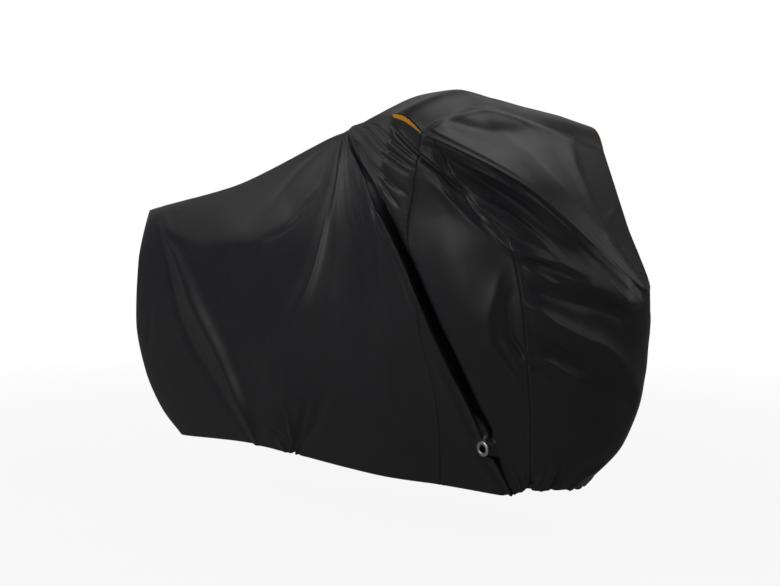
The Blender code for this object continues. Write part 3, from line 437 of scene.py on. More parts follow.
        (1.585, 0.500, 0, 6), (1.660, 0.530, 7, 14), (1.760, 0.530, 7, 18), (1.860, 0.510, 4, 20),
        (1.950, 0.510, 0, 18))),
    ("left front hollow", "left", 0.8, 0, 0.15, (
        (1.590, 0.580, 0, 12), (1.680, 0.630, -14, 28), (1.800, 0.640, -15, 34), (1.920, 0.630, 0, 28))),
    ("left lens edge", "left", 0.4, 0, 0.5, (
        (1.500, 0.360, 0, 24), (1.490, 0.480, 9, 30), (1.500, 0.580, 9, 26), (1.550, 0.680, 0, 14))),
    ("left lens hollow", "left", 0.9, 0, 0.15, (
        (1.550, 0.400, 0, 14), (1.540, 0.500, -9, 18), (1.555, 0.600, -7, 14), (1.580, 0.680, 0, 10))),
    ("left gusset swell", "left", 1, 0, 0, (
        (1.400, 0.140, 0, 50), (1.440, 0.340, 8, 70), (1.470, 0.560, 7, 60), (1.500, 0.800, 0, 40))),
)

gathers = (
    # patch, place at the hem, spread, count, reach up the side, rise in millimetres
    ("right", 0.690, 0.16, 6, 0.10, 3.5),
    ("right", 1.545, 0.12, 5, 0.07, 4.0),
    ("left", 0.700, 0.22, 7, 0.16, 10.0),
    ("left", 1.490, 0.16, 6, 0.12, 9.0),
    ("left", 1.900, 0.08, 3, 0.09, 8.0),
)
gatherForm = {
    # from the head of each pleat to its knee and its foot: where it stands and how wide it is
    "headSpread": 0.95, "footSpread": 0.42, "kneeHeight": 0.45, "kneeBend": 0.01, "footDrop": 1.02,
    "headWidth": 1.5, "kneeWidth": 1.2,
    # how much the pleats of a gather differ
    "sway": (-0.12, 0.12), "length": (0.6, 1.1), "rise": (0.7, 1.1), "width": (7, 11), "ahead": (0.7, 1.0),
    "crisp": 0.4,
}


def gatherFolds():
    # short pleats that fan up from where the hem is drawn together
    draw = random.Random(7)
    made = []
    for patch, place, spread, count, reach, rise in gathers:
        for number in range(count):
            turn = (number + 0.5) / count * 2 - 1 + draw.uniform(*gatherForm["sway"])
            height = reach * draw.uniform(*gatherForm["length"])
            head = place + spread * gatherForm["headSpread"] * turn
            foot = place + spread * gatherForm["footSpread"] * turn
            knee = (head + foot) / 2 + gatherForm["kneeBend"] * turn
            high = rise * draw.uniform(*gatherForm["rise"]) * (1 if number % 2 == 0 else -1)
            width = draw.uniform(*gatherForm["width"])
            path = ((head, 1.0 - height, 0.0, width * gatherForm["headWidth"]),
                    (knee, 1.0 - height * gatherForm["kneeHeight"], high, width * gatherForm["kneeWidth"]),
                    (foot, gatherForm["footDrop"], high, width))
            ahead = draw.uniform(*gatherForm["ahead"])
            made.append((f"gather {len(made)}", patch, ahead, 0.0, gatherForm["crisp"], path))
    return tuple(made)


foldForm = {
    "steps": 6,  # straight stretches that a path is laid in, for each of its points
    "reach": 4.5,  # half widths past which a fold is no longer felt
    "crease": 0.12, "roundness": 1.6,  # how blunt a crease's crest is, and what a round fold adds
}


def foldShift(fold, points, normals):
    # how far one fold carries each point
    _, patch, ahead, lean, crisp, path = fold
    rows = readCurve(np.arange(len(path)), path, np.linspace(0, len(path) - 1, foldForm["steps"] * len(path)))
    line = formPoints(rows[:, 0], rows[:, 1], patch)
    rises, widths = rows[:, 2] / 1000, rows[:, 3] / 1000
    reach = foldForm["reach"] * widths.max() * max(ahead, 1.0)
    low, high = line.min(axis=0) - reach, line.max(axis=0) + reach
    shift = np.zeros_like(points)
    near = np.flatnonzero(((points > low) & (points < high)).all(axis=1))
    if not len(near):
        return shift
    points, normals = points[near], normals[near]
    starts, steps = line[:-1], np.diff(line, axis=0)
    lengths = np.maximum((steps ** 2).sum(axis=1), 1e-12)
    share = np.clip(((points[:, None] - starts) * steps).sum(axis=2) / lengths, 0.0, 1.0)
    offsets = points[:, None] - starts - share[..., None] * steps
    distances = np.linalg.norm(offsets, axis=2)
    nearest = distances.argmin(axis=1)
    point = np.arange(len(points))
    offset, distance = offsets[point, nearest], distances[point, nearest]
    forward = np.cross(normals, unit(steps)[nearest]) * (-1 if patch == "left" else 1)
    along = nearest + share[point, nearest]
    rise = np.interp(along, np.arange(len(rows)), rises)
    width = np.interp(along, np.arange(len(rows)), widths)
    width = np.where((offset * forward).sum(axis=1) > 0, width * ahead, width)
    # the softer the fold, the rounder its crest; its sides die away alike
    soft = foldForm["crease"] + foldForm["roundness"] * (1 - crisp) ** 2
    shape = np.exp(-(np.sqrt((distance / width) ** 2 + soft ** 2) - soft) / (math.sqrt(1 + soft ** 2) - soft))
    shift[near] = (shape * rise)[:, None] * (normals + lean * forward)
    return shift


ripple = {
    # each unevenness in metres, and how many waves of it lie along the patch and down it
    "broad": 0.0030, "broadPitch": (3.1, 2.6),
    "cockle": 0.0005, "cocklePitch": (17, 13),  # the smallest, left by the coating
    "streaks": 0.0014, "streakPitch": (7, 1.3),  # pulled streaks, by their turn and their reach
    "fineStreaks": 0.0004, "finePitch": (19, 2.4), "roofPitch": (4, 9),
    "seeds": {"right": 1.7, "left": 23.1, "roof": 41.9},
}
streak = {
    # the points that the streaks run down from, and how far above the edge they are
    "saddle": form["saddleAt"] + 0.02, "grip": 1.42, "above": 0.03,
    "frontFrom": 1.30, "frontOver": 0.25,  # where those from the grip take over
    "fadeIn": 0.30, "fadeOut": 0.6, "fadeOutFrom": 0.6, "fadeOutOver": 0.4,
}


def sample(x, y, pitch, seed):
    return np.array([noise.noise((a, b, seed)) for a, b in zip(x * pitch[0], y * pitch[1])])


def pulledStreaks(at, down, apexAt, seed):
    # unevenness drawn out along lines that run down from one point of the top edge
    reach = np.hypot(at - apexAt, down + streak["above"])
    turn = np.arctan2(at - apexAt, down + streak["above"])
    away = smoothStep((reach - streak["fadeOutFrom"]) / streak["fadeOutOver"])
    fade = smoothStep(reach / streak["fadeIn"]) * (1 - streak["fadeOut"] * away)
    return fade * (ripple["streaks"] * sample(turn, reach, ripple["streakPitch"], seed)
                   + ripple["fineStreaks"] * sample(turn, reach, ripple["finePitch"], seed + 3))


def unevenness(at, down, patch):
    seed = ripple["seeds"][patch]
    rise = (ripple["broad"] * sample(at, down, ripple["broadPitch"], seed)
            + ripple["cockle"] * sample(at, down, ripple["cocklePitch"], seed))
    if patch == "roof":
        return rise + ripple["fineStreaks"] * sample(at, down, ripple["roofPitch"], seed + 5)
    front = smoothStep((at - streak["frontFrom"]) / streak["frontOver"])
    return rise + ((1 - front) * pulledStreaks(at, down, streak["saddle"], seed)
                   + front * pulledStreaks(at, down, streak["grip"], seed + 9))


# Broad swells and hollows of the right side, where the cloth hangs away from its form.
swells = (
    # name, place, drop, rise in millimetres, reach along, reach down
    ("slope belly", 0.50, 0.17, 8, 0.12, 0.16),
    ("ridge back", 0.72, 0.16, -9, 0.10, 0.12),
    ("ridge foot", 0.75, 0.66, 8, 0.10, 0.15),
    ("pleat hollow", 1.44, 0.24, -15, 0.16, 0.14),
    ("lens side", 1.38, 0.54, 12, 0.13, 0.15),
    ("pleat shoulder", 1.21, 0.32, 7, 0.09, 0.12),
    ("front hollow", 1.55, 0.40, -6, 0.09, 0.09),
    ("front swell", 1.80, 0.28, 7, 0.14, 0.14),
    ("nose top", 1.97, 0.00, -6, 0.10, 0.06),
    ("nose cheek", 1.88, 0.52, 4, 0.12, 0.14),
    ("tail swell", 0.36, 0.37, 4, 0.12, 0.09),
    ("tail hollow", 0.36, 0.64, -4, 0.14, 0.14),
    ("flank hollow", 0.92, 0.45, -3, 0.10, 0.14),
    ("tail hem", 0.16, 0.82, 2, 0.14, 0.10),
    ("pleat back hollow", 1.13, 0.64, -3, 0.08, 0.08),
)


def swellRise(at, down):
    # how far the swells carry each point out, in metres
    rise = np.zeros_like(at)
    for _, place, drop, high, along, below in swells:
        rise += high / 1000 * np.exp(-((at - place) / along) ** 2 - ((down - drop) / below) ** 2)
    return rise


# Seams: the cloth dips where two panels are sewn together, is proud over the turned-in edges and
# puckers a little along the stitches.
seam = {
    "dip": 0.0016, "dipWidth": 0.0020, "lap": 0.0009, "lapAt": 0.0065, "lapWidth": 0.0050,
    "pucker": 0.0002, "puckerWidth": 0.014, "puckerTurns": 6.3 / 0.022, "puckerSway": 2.5, "swayTurns": 31,
    "unsewn": 9.0,  # metres from a seam, where there is none
}


def seamPlaces(at, down, patch, along, fall):
    # how far each point is from its nearest seam, and how far along it, in metres
    alongScale = np.maximum(np.linalg.norm(along, axis=1), 0.2)
    fallScale = np.maximum(np.linalg.norm(fall, axis=1), 0.05)
    sewnTop = (at > form["tongueAt"] - 1e-6) & (at < form["frontSeamAt"] + 1e-6)
    if patch == "roof":
        edges = [(np.where(sewnTop, down * fallScale, seam["unsewn"]), at),
                 (np.where(sewnTop, (1 - down) * fallScale, seam["unsewn"]), at),
                 (np.abs(at - form["tongueAt"]) * alongScale, down * fallScale)]
    else:
        spine = at < form["tongueAt"]
        edges = [(np.abs(at - form["rearSeamAt"]) * alongScale, down * fallScale),
                 (np.abs(at - form["frontSeamAt"]) * alongScale, down * fallScale),
                 (at * alongScale, down * fallScale),
                 (np.where(sewnTop | spine, down * fallScale, seam["unsewn"]), at * alongScale)]
    distances = np.array([edge[0] for edge in edges])
    runs = np.array([edge[1] for edge in edges])
    nearest = distances.argmin(axis=0)
    point = np.arange(len(at))
    return distances[nearest, point], runs[nearest, point]


# folds die away at the edges that two patches share, over these widths
fades = {"roofEdge": 0.03, "sideTop": 0.014, "sideEnds": 0.06}


def edgeFade(at, down, patch):
    if patch == "roof":
        return smoothStep(down / fades["roofEdge"]) * smoothStep((1 - down) / fades["roofEdge"])
    ends = smoothStep(at / fades["sideEnds"]) * smoothStep((form["noseAt"] - at) / fades["sideEnds"])
    return smoothStep(down / fades["sideTop"]) * ends


allFolds = folds + gatherFolds()


def coverPoints(at, down, patch):
    # the cloth's outer surface, folds, seams and all, with its normals and seam places
    along, fall = tangents(at, down, patch)
    points, normals = formPoints(at, down, patch), outward(along, fall, patch)
    away, run = seamPlaces(at, down, patch, along, fall)
    fade = edgeFade(at, down, patch)
    shift = normals * unevenness(at, down, patch)[:, None]
    if patch == "right":
        shift += normals * swellRise(at, down)[:, None]
    for fold in allFolds:
        if fold[1] == patch:
            shift += foldShift(fold, points, normals)
    points = points + shift * fade[:, None]
    sway = seam["puckerSway"] * np.sin(run * seam["swayTurns"])
    sewn = (seam["lap"] * np.exp(-((away - seam["lapAt"]) / seam["lapWidth"]) ** 2)
            - seam["dip"] * np.exp(-(away / seam["dipWidth"]) ** 2)
            + seam["pucker"] * np.sin(run * seam["puckerTurns"] + sway)
            * np.exp(-(away / seam["puckerWidth"]) ** 2))
    points = points + normals * (sewn * fade)[:, None]
    return points, normals, away, run


# Mesh lines down both sides, by their places at ribDrops. They follow the main folds, so that a
# fold's crest and foot fall on edges; strips is how many strips of faces lie before the next line.
ribDrops = (0.0, 0.10, 0.22, 0.36, 0.50, 0.65, 0.82, 1.0)
ribs = (
    ("tail", (0.00, 0.00, 0.00, 0.00, 0.00, 0.00, 0.00, 0.00), 36),
    ("cone foot", (0.26, 0.28, 0.30, 0.295, 0.295, 0.30, 0.305, 0.30), 14),
    ("cone crest", (0.34, 0.37, 0.413, 0.417, 0.415, 0.42, 0.412, 0.40), 52),
    ("ridge foot", (0.76, 0.757, 0.755, 0.755, 0.75, 0.74, 0.72, 0.70), 9),
    ("ridge crest", (0.815, 0.80, 0.795, 0.80, 0.80, 0.79, 0.78, 0.75), 9),
    ("ridge lee", (0.845, 0.84, 0.835, 0.84, 0.84, 0.84, 0.83, 0.81), 44),
    ("pleat foot", (0.868, 0.950, 1.055, 1.160, 1.240, 1.288, 1.345, 1.420), 12),
    ("pleat crest", (0.885, 0.995, 1.115, 1.225, 1.298, 1.338, 1.395, 1.490), 11),
    ("pleat floor", (0.905, 1.025, 1.165, 1.286, 1.348, 1.384, 1.424, 1.516), 9),
    ("pleat lee", (0.925, 1.055, 1.205, 1.320, 1.380, 1.412, 1.448, 1.534), 58),
    ("lip rear", (1.165, 1.20, 1.27, 1.36, 1.41, 1.44, 1.48, 1.545), 36),
    ("lip front", (1.32, 1.33, 1.36, 1.42, 1.46, 1.48, 1.51, 1.555), 26),
    ("front seam", (1.58, 1.58, 1.58, 1.58, 1.58, 1.58, 1.58, 1.58), 62),
    ("nose", (2.00, 2.00, 2.00, 2.00, 2.00, 2.00, 2.00, 2.00), 0),
)
rowStops = ((0.0, 0.0015), (0.03, 0.0034), (0.30, 0.0046), (0.50, 0.0060), (0.93, 0.0056), (1.0, 0.0030))
seamLines = (0.0015, 0.0035, 0.0065, 0.0110)  # extra mesh lines on both sides of a seam
hemRows = ((1.0, 0.0009, 0.0007), (1.0, 0.0020, 0.0), (0.992, 0.0022, 0.0), (0.980, 0.0020, 0.0))
lipRows = 8
roofStops = ((0.0, 0.005), (0.08, 0.008), (0.25, 0.016), (0.75, 0.018), (1.0, 0.007))
ventLip = {
    "from": 1.165, "to": 1.32, "width": 0.012, "peak": 0.5, "fullness": 0.8,
    "slit": 0.009, "slitEnds": 0.0030, "thickness": 0.0022,
}
panelNames = ("rear_right", "rear_left", "gusset_right", "gusset_left", "hood", "vent_lip_right",
              "vent_lip_left")


def spaced(stops):
    # places from the first stop to the last, with the spacing read between the stops
    ends, gaps = [stop[0] for stop in stops], [stop[1] for stop in stops]
    places = [ends[0]]
    while places[-1] < ends[-1]:
        places.append(places[-1] + float(np.interp(places[-1], ends, gaps)))
    return [ends[0] + (place - ends[0]) * (ends[-1] - ends[0]) / (places[-1] - ends[0]) for place in places]


def ribLines():
    lines = []
    for (_, near, strips), (_, far, _) in zip(ribs, ribs[1:]):
        for step in range(strips):
            lines.append(np.array(near) * (1 - step / strips) + np.array(far) * step / strips)
    return np.array(lines + [np.array(ribs[-1][1])])


def lipShare(at):
    s = np.clip((at - ventLip["from"]) / (ventLip["to"] - ventLip["from"]), 0.0, 1.0)
    return ventLip["width"] * np.sin(np.pi * s ** ventLip["peak"]) ** ventLip["fullness"]


def slitShare(at):
    overLip = (at > ventLip["from"] - 1e-6) & (at < ventLip["to"] + 1e-6)
    opening = (ventLip["slit"] - ventLip["slitEnds"]) * (lipShare(at) / ventLip["width"]) ** 2
    return np.where(overLip, ventLip["slitEnds"] + opening, 0.0)


def gridSheet(columns, rows):
    # a flat grid whose vertices carry their column and row numbers
    sheet = bmesh.new()
    bmesh.ops.create_grid(sheet, x_segments=columns, y_segments=rows, size=0.5)
    for vertex in sheet.verts:
        vertex.co.x = round((vertex.co.x + 0.5) * columns)
        vertex.co.y = round((vertex.co.y + 0.5) * rows)
    return sheet


def sideChart():
    # a side laid flat: x is the place along it, y the drop; the vent lip's rows lie below 0 and the
    # hem's turned-in rows above 1
    lines = ribLines()
    rows = ([row / lipRows - 1 for row in range(lipRows)] + spaced(rowStops)
            + [2.0 + number for number in range(len(hemRows))])
    chart = gridSheet(len(lines) - 1, len(rows) - 1)
    for vertex in chart.verts:
        drop = rows[round(vertex.co.y)]
        vertex.co.x = np.interp(np.clip(drop, 0, 1), ribDrops, lines[round(vertex.co.x)])
        vertex.co.y = drop
    cuts = [form["rearSeamAt"]]
    snap = 4e-4  # a vertex this near a cut is moved onto it
    for away in seamLines:
        cuts += [form["rearSeamAt"] - away, form["rearSeamAt"] + away, form["frontSeamAt"] - away,
                 form["frontSeamAt"] + away, away]
    for cut in cuts:
        for vertex in chart.verts:
            if abs(vertex.co.x - cut) < snap:
                vertex.co.x = cut
        everything = chart.verts[:] + chart.edges[:] + chart.faces[:]
        bmesh.ops.bisect_plane(chart, geom=everything, dist=1e-6, plane_co=(cut, 0, 0), plane_no=(1, 0, 0))
    return chart


def roofChart(side):
    tops = sorted({round(vertex.co.x, 6) for vertex in side.verts
                   if abs(vertex.co.y) < 1e-9 and vertex.co.x > form["saddleAt"] - 1e-6} | {form["tongueAt"]})
    rows = spaced(roofStops)
    chart = gridSheet(len(tops) - 1, len(rows) - 1)
    for vertex in chart.verts:
        vertex.co.x = tops[round(vertex.co.x)]
        vertex.co.y = rows[round(vertex.co.y)]
    return chart


def panelOf(patch, at, down):
    if patch == "roof":
        return "hood" if at > form["tongueAt"] else "rear_right" if down < 0.5 else "rear_left"
    if down < 0:
        return f"vent_lip_{patch}"
    if at > form["frontSeamAt"]:
        return "hood"
    return f"gusset_{patch}" if at > form["rearSeamAt"] else f"rear_{patch}"


# metres from the top edge to the hem, near enough for the hem's stitches, and a distance that has none
hemStitch = {"sideHeight": 1.05, "never": 0.5}


def layPatch(skin, chart, patch):
    # carry a flat chart onto the form and add it to the skin; clothPlace keeps each vertex's place on
    # the patch, and seamPlace its distance from a seam, its place along that and its distance from the hem
    for face in chart.faces:
        middle = face.calc_center_median()
        face.material_index = panelNames.index(panelOf(patch, middle.x, middle.y))
    at = np.array([vertex.co.x for vertex in chart.verts])
    code = np.array([vertex.co.y for vertex in chart.verts])
    down = np.clip(code, 0.0, 1.0)
    inset, lower = np.zeros_like(at), np.zeros_like(at)
    if patch == "roof":
        slit = slitShare(at)
        down = np.where(down < 1e-6, slit, np.where(down > 1 - 1e-6, 1 - slit, down))
    else:
        lip = lipShare(at)
        down = np.where(code < 0, lip * (1 + code), lip + (1 - lip) * down)
        for number, (drop, inwards, below) in enumerate(hemRows):
            chosen = code == 2.0 + number
            down, inset = np.where(chosen, drop, down), np.where(chosen, inwards, inset)
            lower = np.where(chosen, below, lower)
    points, normals, away, run = coverPoints(at, down, patch)
    points = points - normals * inset[:, None]
    points[:, 2] -= lower
    clothPlace = chart.verts.layers.float_vector.new("clothPlace")
    seamPlace = chart.verts.layers.float_vector.new("seamPlace")
    unhemmed = (inset > 0) | (patch == "roof")
    hemAway = np.where(unhemmed, hemStitch["never"], (1 - down) * hemStitch["sideHeight"])
    cloth = np.stack((at, down, np.zeros_like(at)), axis=1)
    sewn = np.stack((away, run, hemAway), axis=1)
    for vertex, point, clothRow, sewnRow in zip(chart.verts, points - saddlePoint, cloth, sewn):
        vertex.co = point
        vertex[clothPlace] = clothRow
        vertex[seamPlace] = sewnRow
    if patch == "right":
        bmesh.ops.reverse_faces(chart, faces=chart.faces[:])
    carry = bpy.data.meshes.new("carry")
    chart.to_mesh(carry)
    skin.from_mesh(carry)
    bpy.data.meshes.remove(carry)


def wholeSkin():
    skin = bmesh.new()
    for patch in ("right", "left"):
        chart = sideChart()
        if patch == "right":
            roof = roofChart(chart)
        layPatch(skin, chart, patch)
        chart.free()
        print(f"{patch} side laid")
    layPatch(skin, roof, "roof")
    roof.free()
    print("roof laid")
    return skin


def toLinear(hexColour):
    channels = [int(hexColour[i:i + 2], 16) / 255 for i in (0, 2, 4)]
    return tuple(c / 12.92 if c <= 0.04045 else ((c + 0.055) / 1.055) ** 2.4 for c in channels) + (1.0,)


def addNode(tree, kind, settings=None, links=None):
    # one node, with values for its inputs or properties and links into its inputs
    node = tree.nodes.new(f"ShaderNode{kind}")
    for key, value in (settings or {}).items():
        if isinstance(key, int) or key in node.inputs:
            node.inputs[key].default_value = value
        else:
            setattr(node, key, value)
    for key, socket in (links or {}).items():
        tree.links.new(socket, node.inputs[key])
    return node


def newMaterial(name, settings):
    material = bpy.data.materials.new(name)
    material.use_nodes = True
    tree = material.node_tree
    shader = tree.nodes["Principled BSDF"]
    for key, value in settings.items():
        shader.inputs[key].default_value = value
    return material, tree, shader


# Polyurethane-coated 210D polyester: plain woven, calendered smooth, so a soft sheen lies over a
# near-black body and follows every fold.
polyester = {
    "dark": "29292c", "light": "313135", "sheenTint": "8d9096", "roughLow": 0.36, "roughHigh": 0.44,
    "finish": {"Specular IOR Level": 0.42, "Sheen Weight": 0.06, "Sheen Roughness": 0.45, "IOR": 1.5},
    "blotches": 3.5, "wear": 38.0,  # to the metre: patches of 290 mm and marks of 26 mm
    # the threads are 0.3 mm apart on the real cloth; drawn at 1.6 mm so that they can show at all
    "threadSpacing": 0.0016, "threadDepth": 0.00006, "threadBump": 0.35,
}
# Lockstitch along the seams and the hem, a dash of spun polyester thread and a gap, sunk in the cloth.
stitching = {
    "thread": "2b2c30", "length": 0.0040, "seamAt": 0.0060, "hemAt": 0.018, "core": 0.0004, "edge": 0.0009,
    "gapTo": 0.10, "dashFrom": 0.16, "height": 0.0005, "bump": 0.6,
}


def waveBands(spacing):
    # a wave texture turns through 20 radians for each unit of its scale
    return 2 * math.pi / (20 * spacing)


def coatedPolyester(name, seed):
    finish = {**polyester["finish"], "Sheen Tint": toLinear(polyester["sheenTint"])}
    material, tree, shader = newMaterial(name, finish)
    spot = addNode(tree, "TexCoord").outputs["Object"]
    blotch = addNode(tree, "TexNoise", {"noise_dimensions": "4D", "W": seed, "Scale": polyester["blotches"],
                                        "Detail": 4.0}, {"Vector": spot})
    rough = addNode(tree, "MapRange", {"From Min": 0.3, "From Max": 0.7, "To Min": polyester["roughLow"],
                                       "To Max": polyester["roughHigh"]}, {"Value": blotch.outputs[0]})
    wear = addNode(tree, "TexNoise", {"Scale": polyester["wear"], "Detail": 3.0}, {"Vector": spot})
    body = addNode(tree, "Mix", {"data_type": "RGBA", 6: toLinear(polyester["dark"]),
                                 7: toLinear(polyester["light"])}, {0: wear.outputs[0]})
    place = addNode(tree, "Attribute", {"attribute_name": "clothPlace"}).outputs["Vector"]
    bands = waveBands(polyester["threadSpacing"])
    warp, weft = [addNode(tree, "TexWave", {"bands_direction": way, "Scale": bands}, {"Vector": place})
                  for way in ("X", "Y")]
    weave = addNode(tree, "Math", {"operation": "MULTIPLY"}, {0: warp.outputs["Fac"], 1: weft.outputs["Fac"]})
    seamData = addNode(tree, "Attribute", {"attribute_name": "seamPlace"})
    parts = addNode(tree, "SeparateXYZ", {}, {0: seamData.outputs["Vector"]})
    lines = []
    for output, at in ((0, stitching["seamAt"]), (2, stitching["hemAt"])):
        off = addNode(tree, "Math", {"operation": "SUBTRACT", 1: at}, {0: parts.outputs[output]})
        size = addNode(tree, "Math", {"operation": "ABSOLUTE"}, {0: off.outputs[0]})
        lines.append(addNode(tree, "MapRange", {"From Min": stitching["core"], "From Max": stitching["edge"],
                                                "To Min": 1.0, "To Max": 0.0}, {"Value": size.outputs[0]}))
    line = addNode(tree, "Math", {"operation": "MAXIMUM"}, {0: lines[0].outputs[0], 1: lines[1].outputs[0]})
    beat = addNode(tree, "Math", {"operation": "PINGPONG", 1: stitching["length"] / 2}, {0: parts.outputs[1]})
    dash = addNode(tree, "MapRange", {"From Min": stitching["length"] * stitching["gapTo"],
                                      "From Max": stitching["length"] * stitching["dashFrom"]},
                   {"Value": beat.outputs[0]})
    stitch = addNode(tree, "Math", {"operation": "MULTIPLY"}, {0: line.outputs[0], 1: dash.outputs[0]})
    colour = addNode(tree, "Mix", {"data_type": "RGBA", 7: toLinear(stitching["thread"])},
                     {0: stitch.outputs[0], 6: body.outputs[2]})
    woven = addNode(tree, "Bump", {"Strength": polyester["threadBump"], "Distance": polyester["threadDepth"]},
                    {"Height": weave.outputs[0]})
    sewn = addNode(tree, "Bump", {"Strength": stitching["bump"], "Distance": stitching["height"]},
                   {"Height": stitch.outputs[0], "Normal": woven.outputs[0]})
    tree.links.new(colour.outputs[2], shader.inputs["Base Color"])
    tree.links.new(rough.outputs[0], shader.inputs["Roughness"])
    tree.links.new(sewn.outputs[0], shader.inputs["Normal"])
    return material


# Spun-dyed woven polyester tape, matt, in a safety orange; its ribs are drawn twice as coarse as real.
binding = {
    "dark": "d98a10", "light": "f7b21c",
    "ribSpacing": 0.0016, "ribWander": 0.4, "ribHeight": 0.0002, "ribBump": 0.5,
    "finish": {"Roughness": 0.62, "Specular IOR Level": 0.3, "Sheen Weight": 0.15, "Sheen Roughness": 0.5},
}


def wovenTape(name):
    material, tree, shader = newMaterial(name, binding["finish"])
    place = addNode(tree, "Attribute", {"attribute_name": "clothPlace"})
    rib = addNode(tree, "TexWave", {"bands_direction": "X", "Scale": waveBands(binding["ribSpacing"]),
                                    "Distortion": binding["ribWander"]}, {"Vector": place.outputs["Vector"]})
    colour = addNode(tree, "Mix", {"data_type": "RGBA", 6: toLinear(binding["dark"]),
                                   7: toLinear(binding["light"])}, {0: rib.outputs["Fac"]})
    relief = addNode(tree, "Bump", {"Strength": binding["ribBump"], "Distance": binding["ribHeight"]},
                     {"Height": rib.outputs["Fac"]})
    tree.links.new(colour.outputs[2], shader.inputs["Base Color"])
    tree.links.new(relief.outputs[0], shader.inputs["Normal"])
    return material


# Nickel-plated brass, stamped and barrel-polished: bright, with fine rubbing marks.
nickel = {
    "bright": "e6e5e1", "dull": "cfcdc7", "roughLow": 0.24, "roughHigh": 0.42,
    "rubs": 420.0,  # to the metre, 2.4 mm each
}


def platedBrass(name):
    material, tree, shader = newMaterial(name, {"Metallic": 1.0})
    spot = addNode(tree, "TexCoord")
    rub = addNode(tree, "TexNoise", {"Scale": nickel["rubs"], "Detail": 5.0},
                  {"Vector": spot.outputs["Object"]})
    colour = addNode(tree, "Mix", {"data_type": "RGBA", 6: toLinear(nickel["dull"]),
                                             7: toLinear(nickel["bright"])}, {0: rub.outputs[0]})
    rough = addNode(tree, "MapRange", {"To Min": nickel["roughLow"], "To Max": nickel["roughHigh"]},
                    {"Value": rub.outputs[0]})
    tree.links.new(colour.outputs[2], shader.inputs["Base Color"])
    tree.links.new(rough.outputs[0], shader.inputs["Roughness"])
    return material


def makeObject(shape, name, material):
    mesh = bpy.data.meshes.new(name)
    shape.to_mesh(mesh)
    shape.free()
    mesh.shade_smooth()
    mesh.materials.append(material)
    piece = bpy.data.objects.new(name, mesh)
    bpy.context.scene.collection.objects.link(piece)
    return piece


eyelet = {
    "bore": 0.024, "outer": 0.044,
    "faces": (-0.25, 0.96, -0.09),  # out to its own side and a little to the tail, as it hangs by the pleat
    # the cloth round it, as radii: cut away, opened to the hole, gripped past the flange, pressed flat
    "cut": 0.010, "hole": 0.0145, "gripPast": 0.003, "seat": 0.0225, "blend": 0.014, "reach": 0.08,
}


def eyeletSeat(side):
    # where the CAD model's eyelet sits, and which way it faces
    low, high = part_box(f"eyelet_{side}")
    x, y, z = eyelet["faces"]
    return (Vector(low) + Vector(high)) / 2, Vector((x, y * sides[side], z)).normalized()


def seatAndPunch(panel, middle, facing):
    # press the cloth flat under the eyelet and open its hole
    cut, hole, flange = eyelet["cut"], eyelet["hole"], eyelet["outer"] / 2 + eyelet["gripPast"]
    gone = []
    for vertex in panel.verts:
        offset = vertex.co - middle
        if offset.length > eyelet["reach"]:
            continue
        height = offset.dot(facing)
        flat = offset - facing * height
        radius = flat.length
        press = 1 - smoothStep((radius - eyelet["seat"]) / eyelet["blend"])
        if radius < cut:
            gone.append(vertex)
        elif radius < flange:
            share = (radius - cut) / (flange - cut)
            flat *= (hole + share * (flange - hole)) / radius
        vertex.co = middle + flat + facing * (height * (1 - float(press)))
    bmesh.ops.delete(panel, geom=gone, context="VERTS")
    for vertex in panel.verts:
        if (vertex.co - middle).length < flange and vertex.is_boundary:
            flat = vertex.co - middle
            vertex.co = middle + flat * (hole / flat.length)


def makeEyelet(side, material):
    # a profile of radius and height, spun: outside a domed flange rolled into the barrel, inside a flat
    # washer with the barrel's lip over it
    middle, facing = eyeletSeat(side)
    bore, outer = eyelet["bore"] / 2, eyelet["outer"] / 2
    profile = (
        (bore, -0.0016), (bore, 0.0004), (bore + 0.0003, 0.0013), (bore + 0.0011, 0.0021),
        (bore + 0.0024, 0.0026), (bore + 0.0042, 0.0027), (bore + 0.0062, 0.0024), (bore + 0.0080, 0.0018),
        (outer - 0.0008, 0.0011), (outer - 0.0001, 0.0006), (outer, 0.0002), (outer - 0.0006, 0.0001),
        (bore + 0.0016, 0.0001), (bore + 0.0016, -0.0014), (outer - 0.0020, -0.0014),
        (outer - 0.0016, -0.0018), (outer - 0.0020, -0.0022), (bore + 0.0030, -0.0023),
        (bore + 0.0016, -0.0028), (bore + 0.0006, -0.0026), (bore + 0.0001, -0.0022),
    )
    ring = bmesh.new()
    points = [ring.verts.new((radius, 0.0, height)) for radius, height in profile]
    edges = [ring.edges.new(pair) for pair in zip(points, points[1:] + points[:1])]
    bmesh.ops.spin(ring, geom=points + edges, cent=(0, 0, 0), axis=(0, 0, 1), angle=2 * math.pi,
                   steps=72, use_merge=True)
    bmesh.ops.remove_doubles(ring, verts=ring.verts[:], dist=1e-7)
    bmesh.ops.recalc_face_normals(ring, faces=ring.faces[:])
    turn = Matrix.Translation(middle) @ facing.to_track_quat("Z", "Y").to_matrix().to_4x4()
    bmesh.ops.transform(ring, matrix=turn, verts=ring.verts[:])
    return makeObject(ring, f"eyeletRing{side.title()}", material)


# node -> piece name, slot, flat size it was cut to in metres
clothPieces = {
    "rear_right": ("rearPanelRight", "shell_cloth", (1.62, 1.22)),
    "rear_left": ("rearPanelLeft", "shell_cloth", (1.62, 1.22)),
    "gusset_right": ("gussetRight", "shell_cloth", (0.40, 1.05)),
    "gusset_left": ("gussetLeft", "shell_cloth", (0.40, 1.05)),
    "hood": ("hoodPanel", "shell_cloth", (1.10, 1.60)),
    "vent_lip_right": ("ventLipRight", "vent_cloth", (0.15, 0.015)),
    "vent_lip_left": ("ventLipLeft", "vent_cloth", (0.15, 0.015)),
}


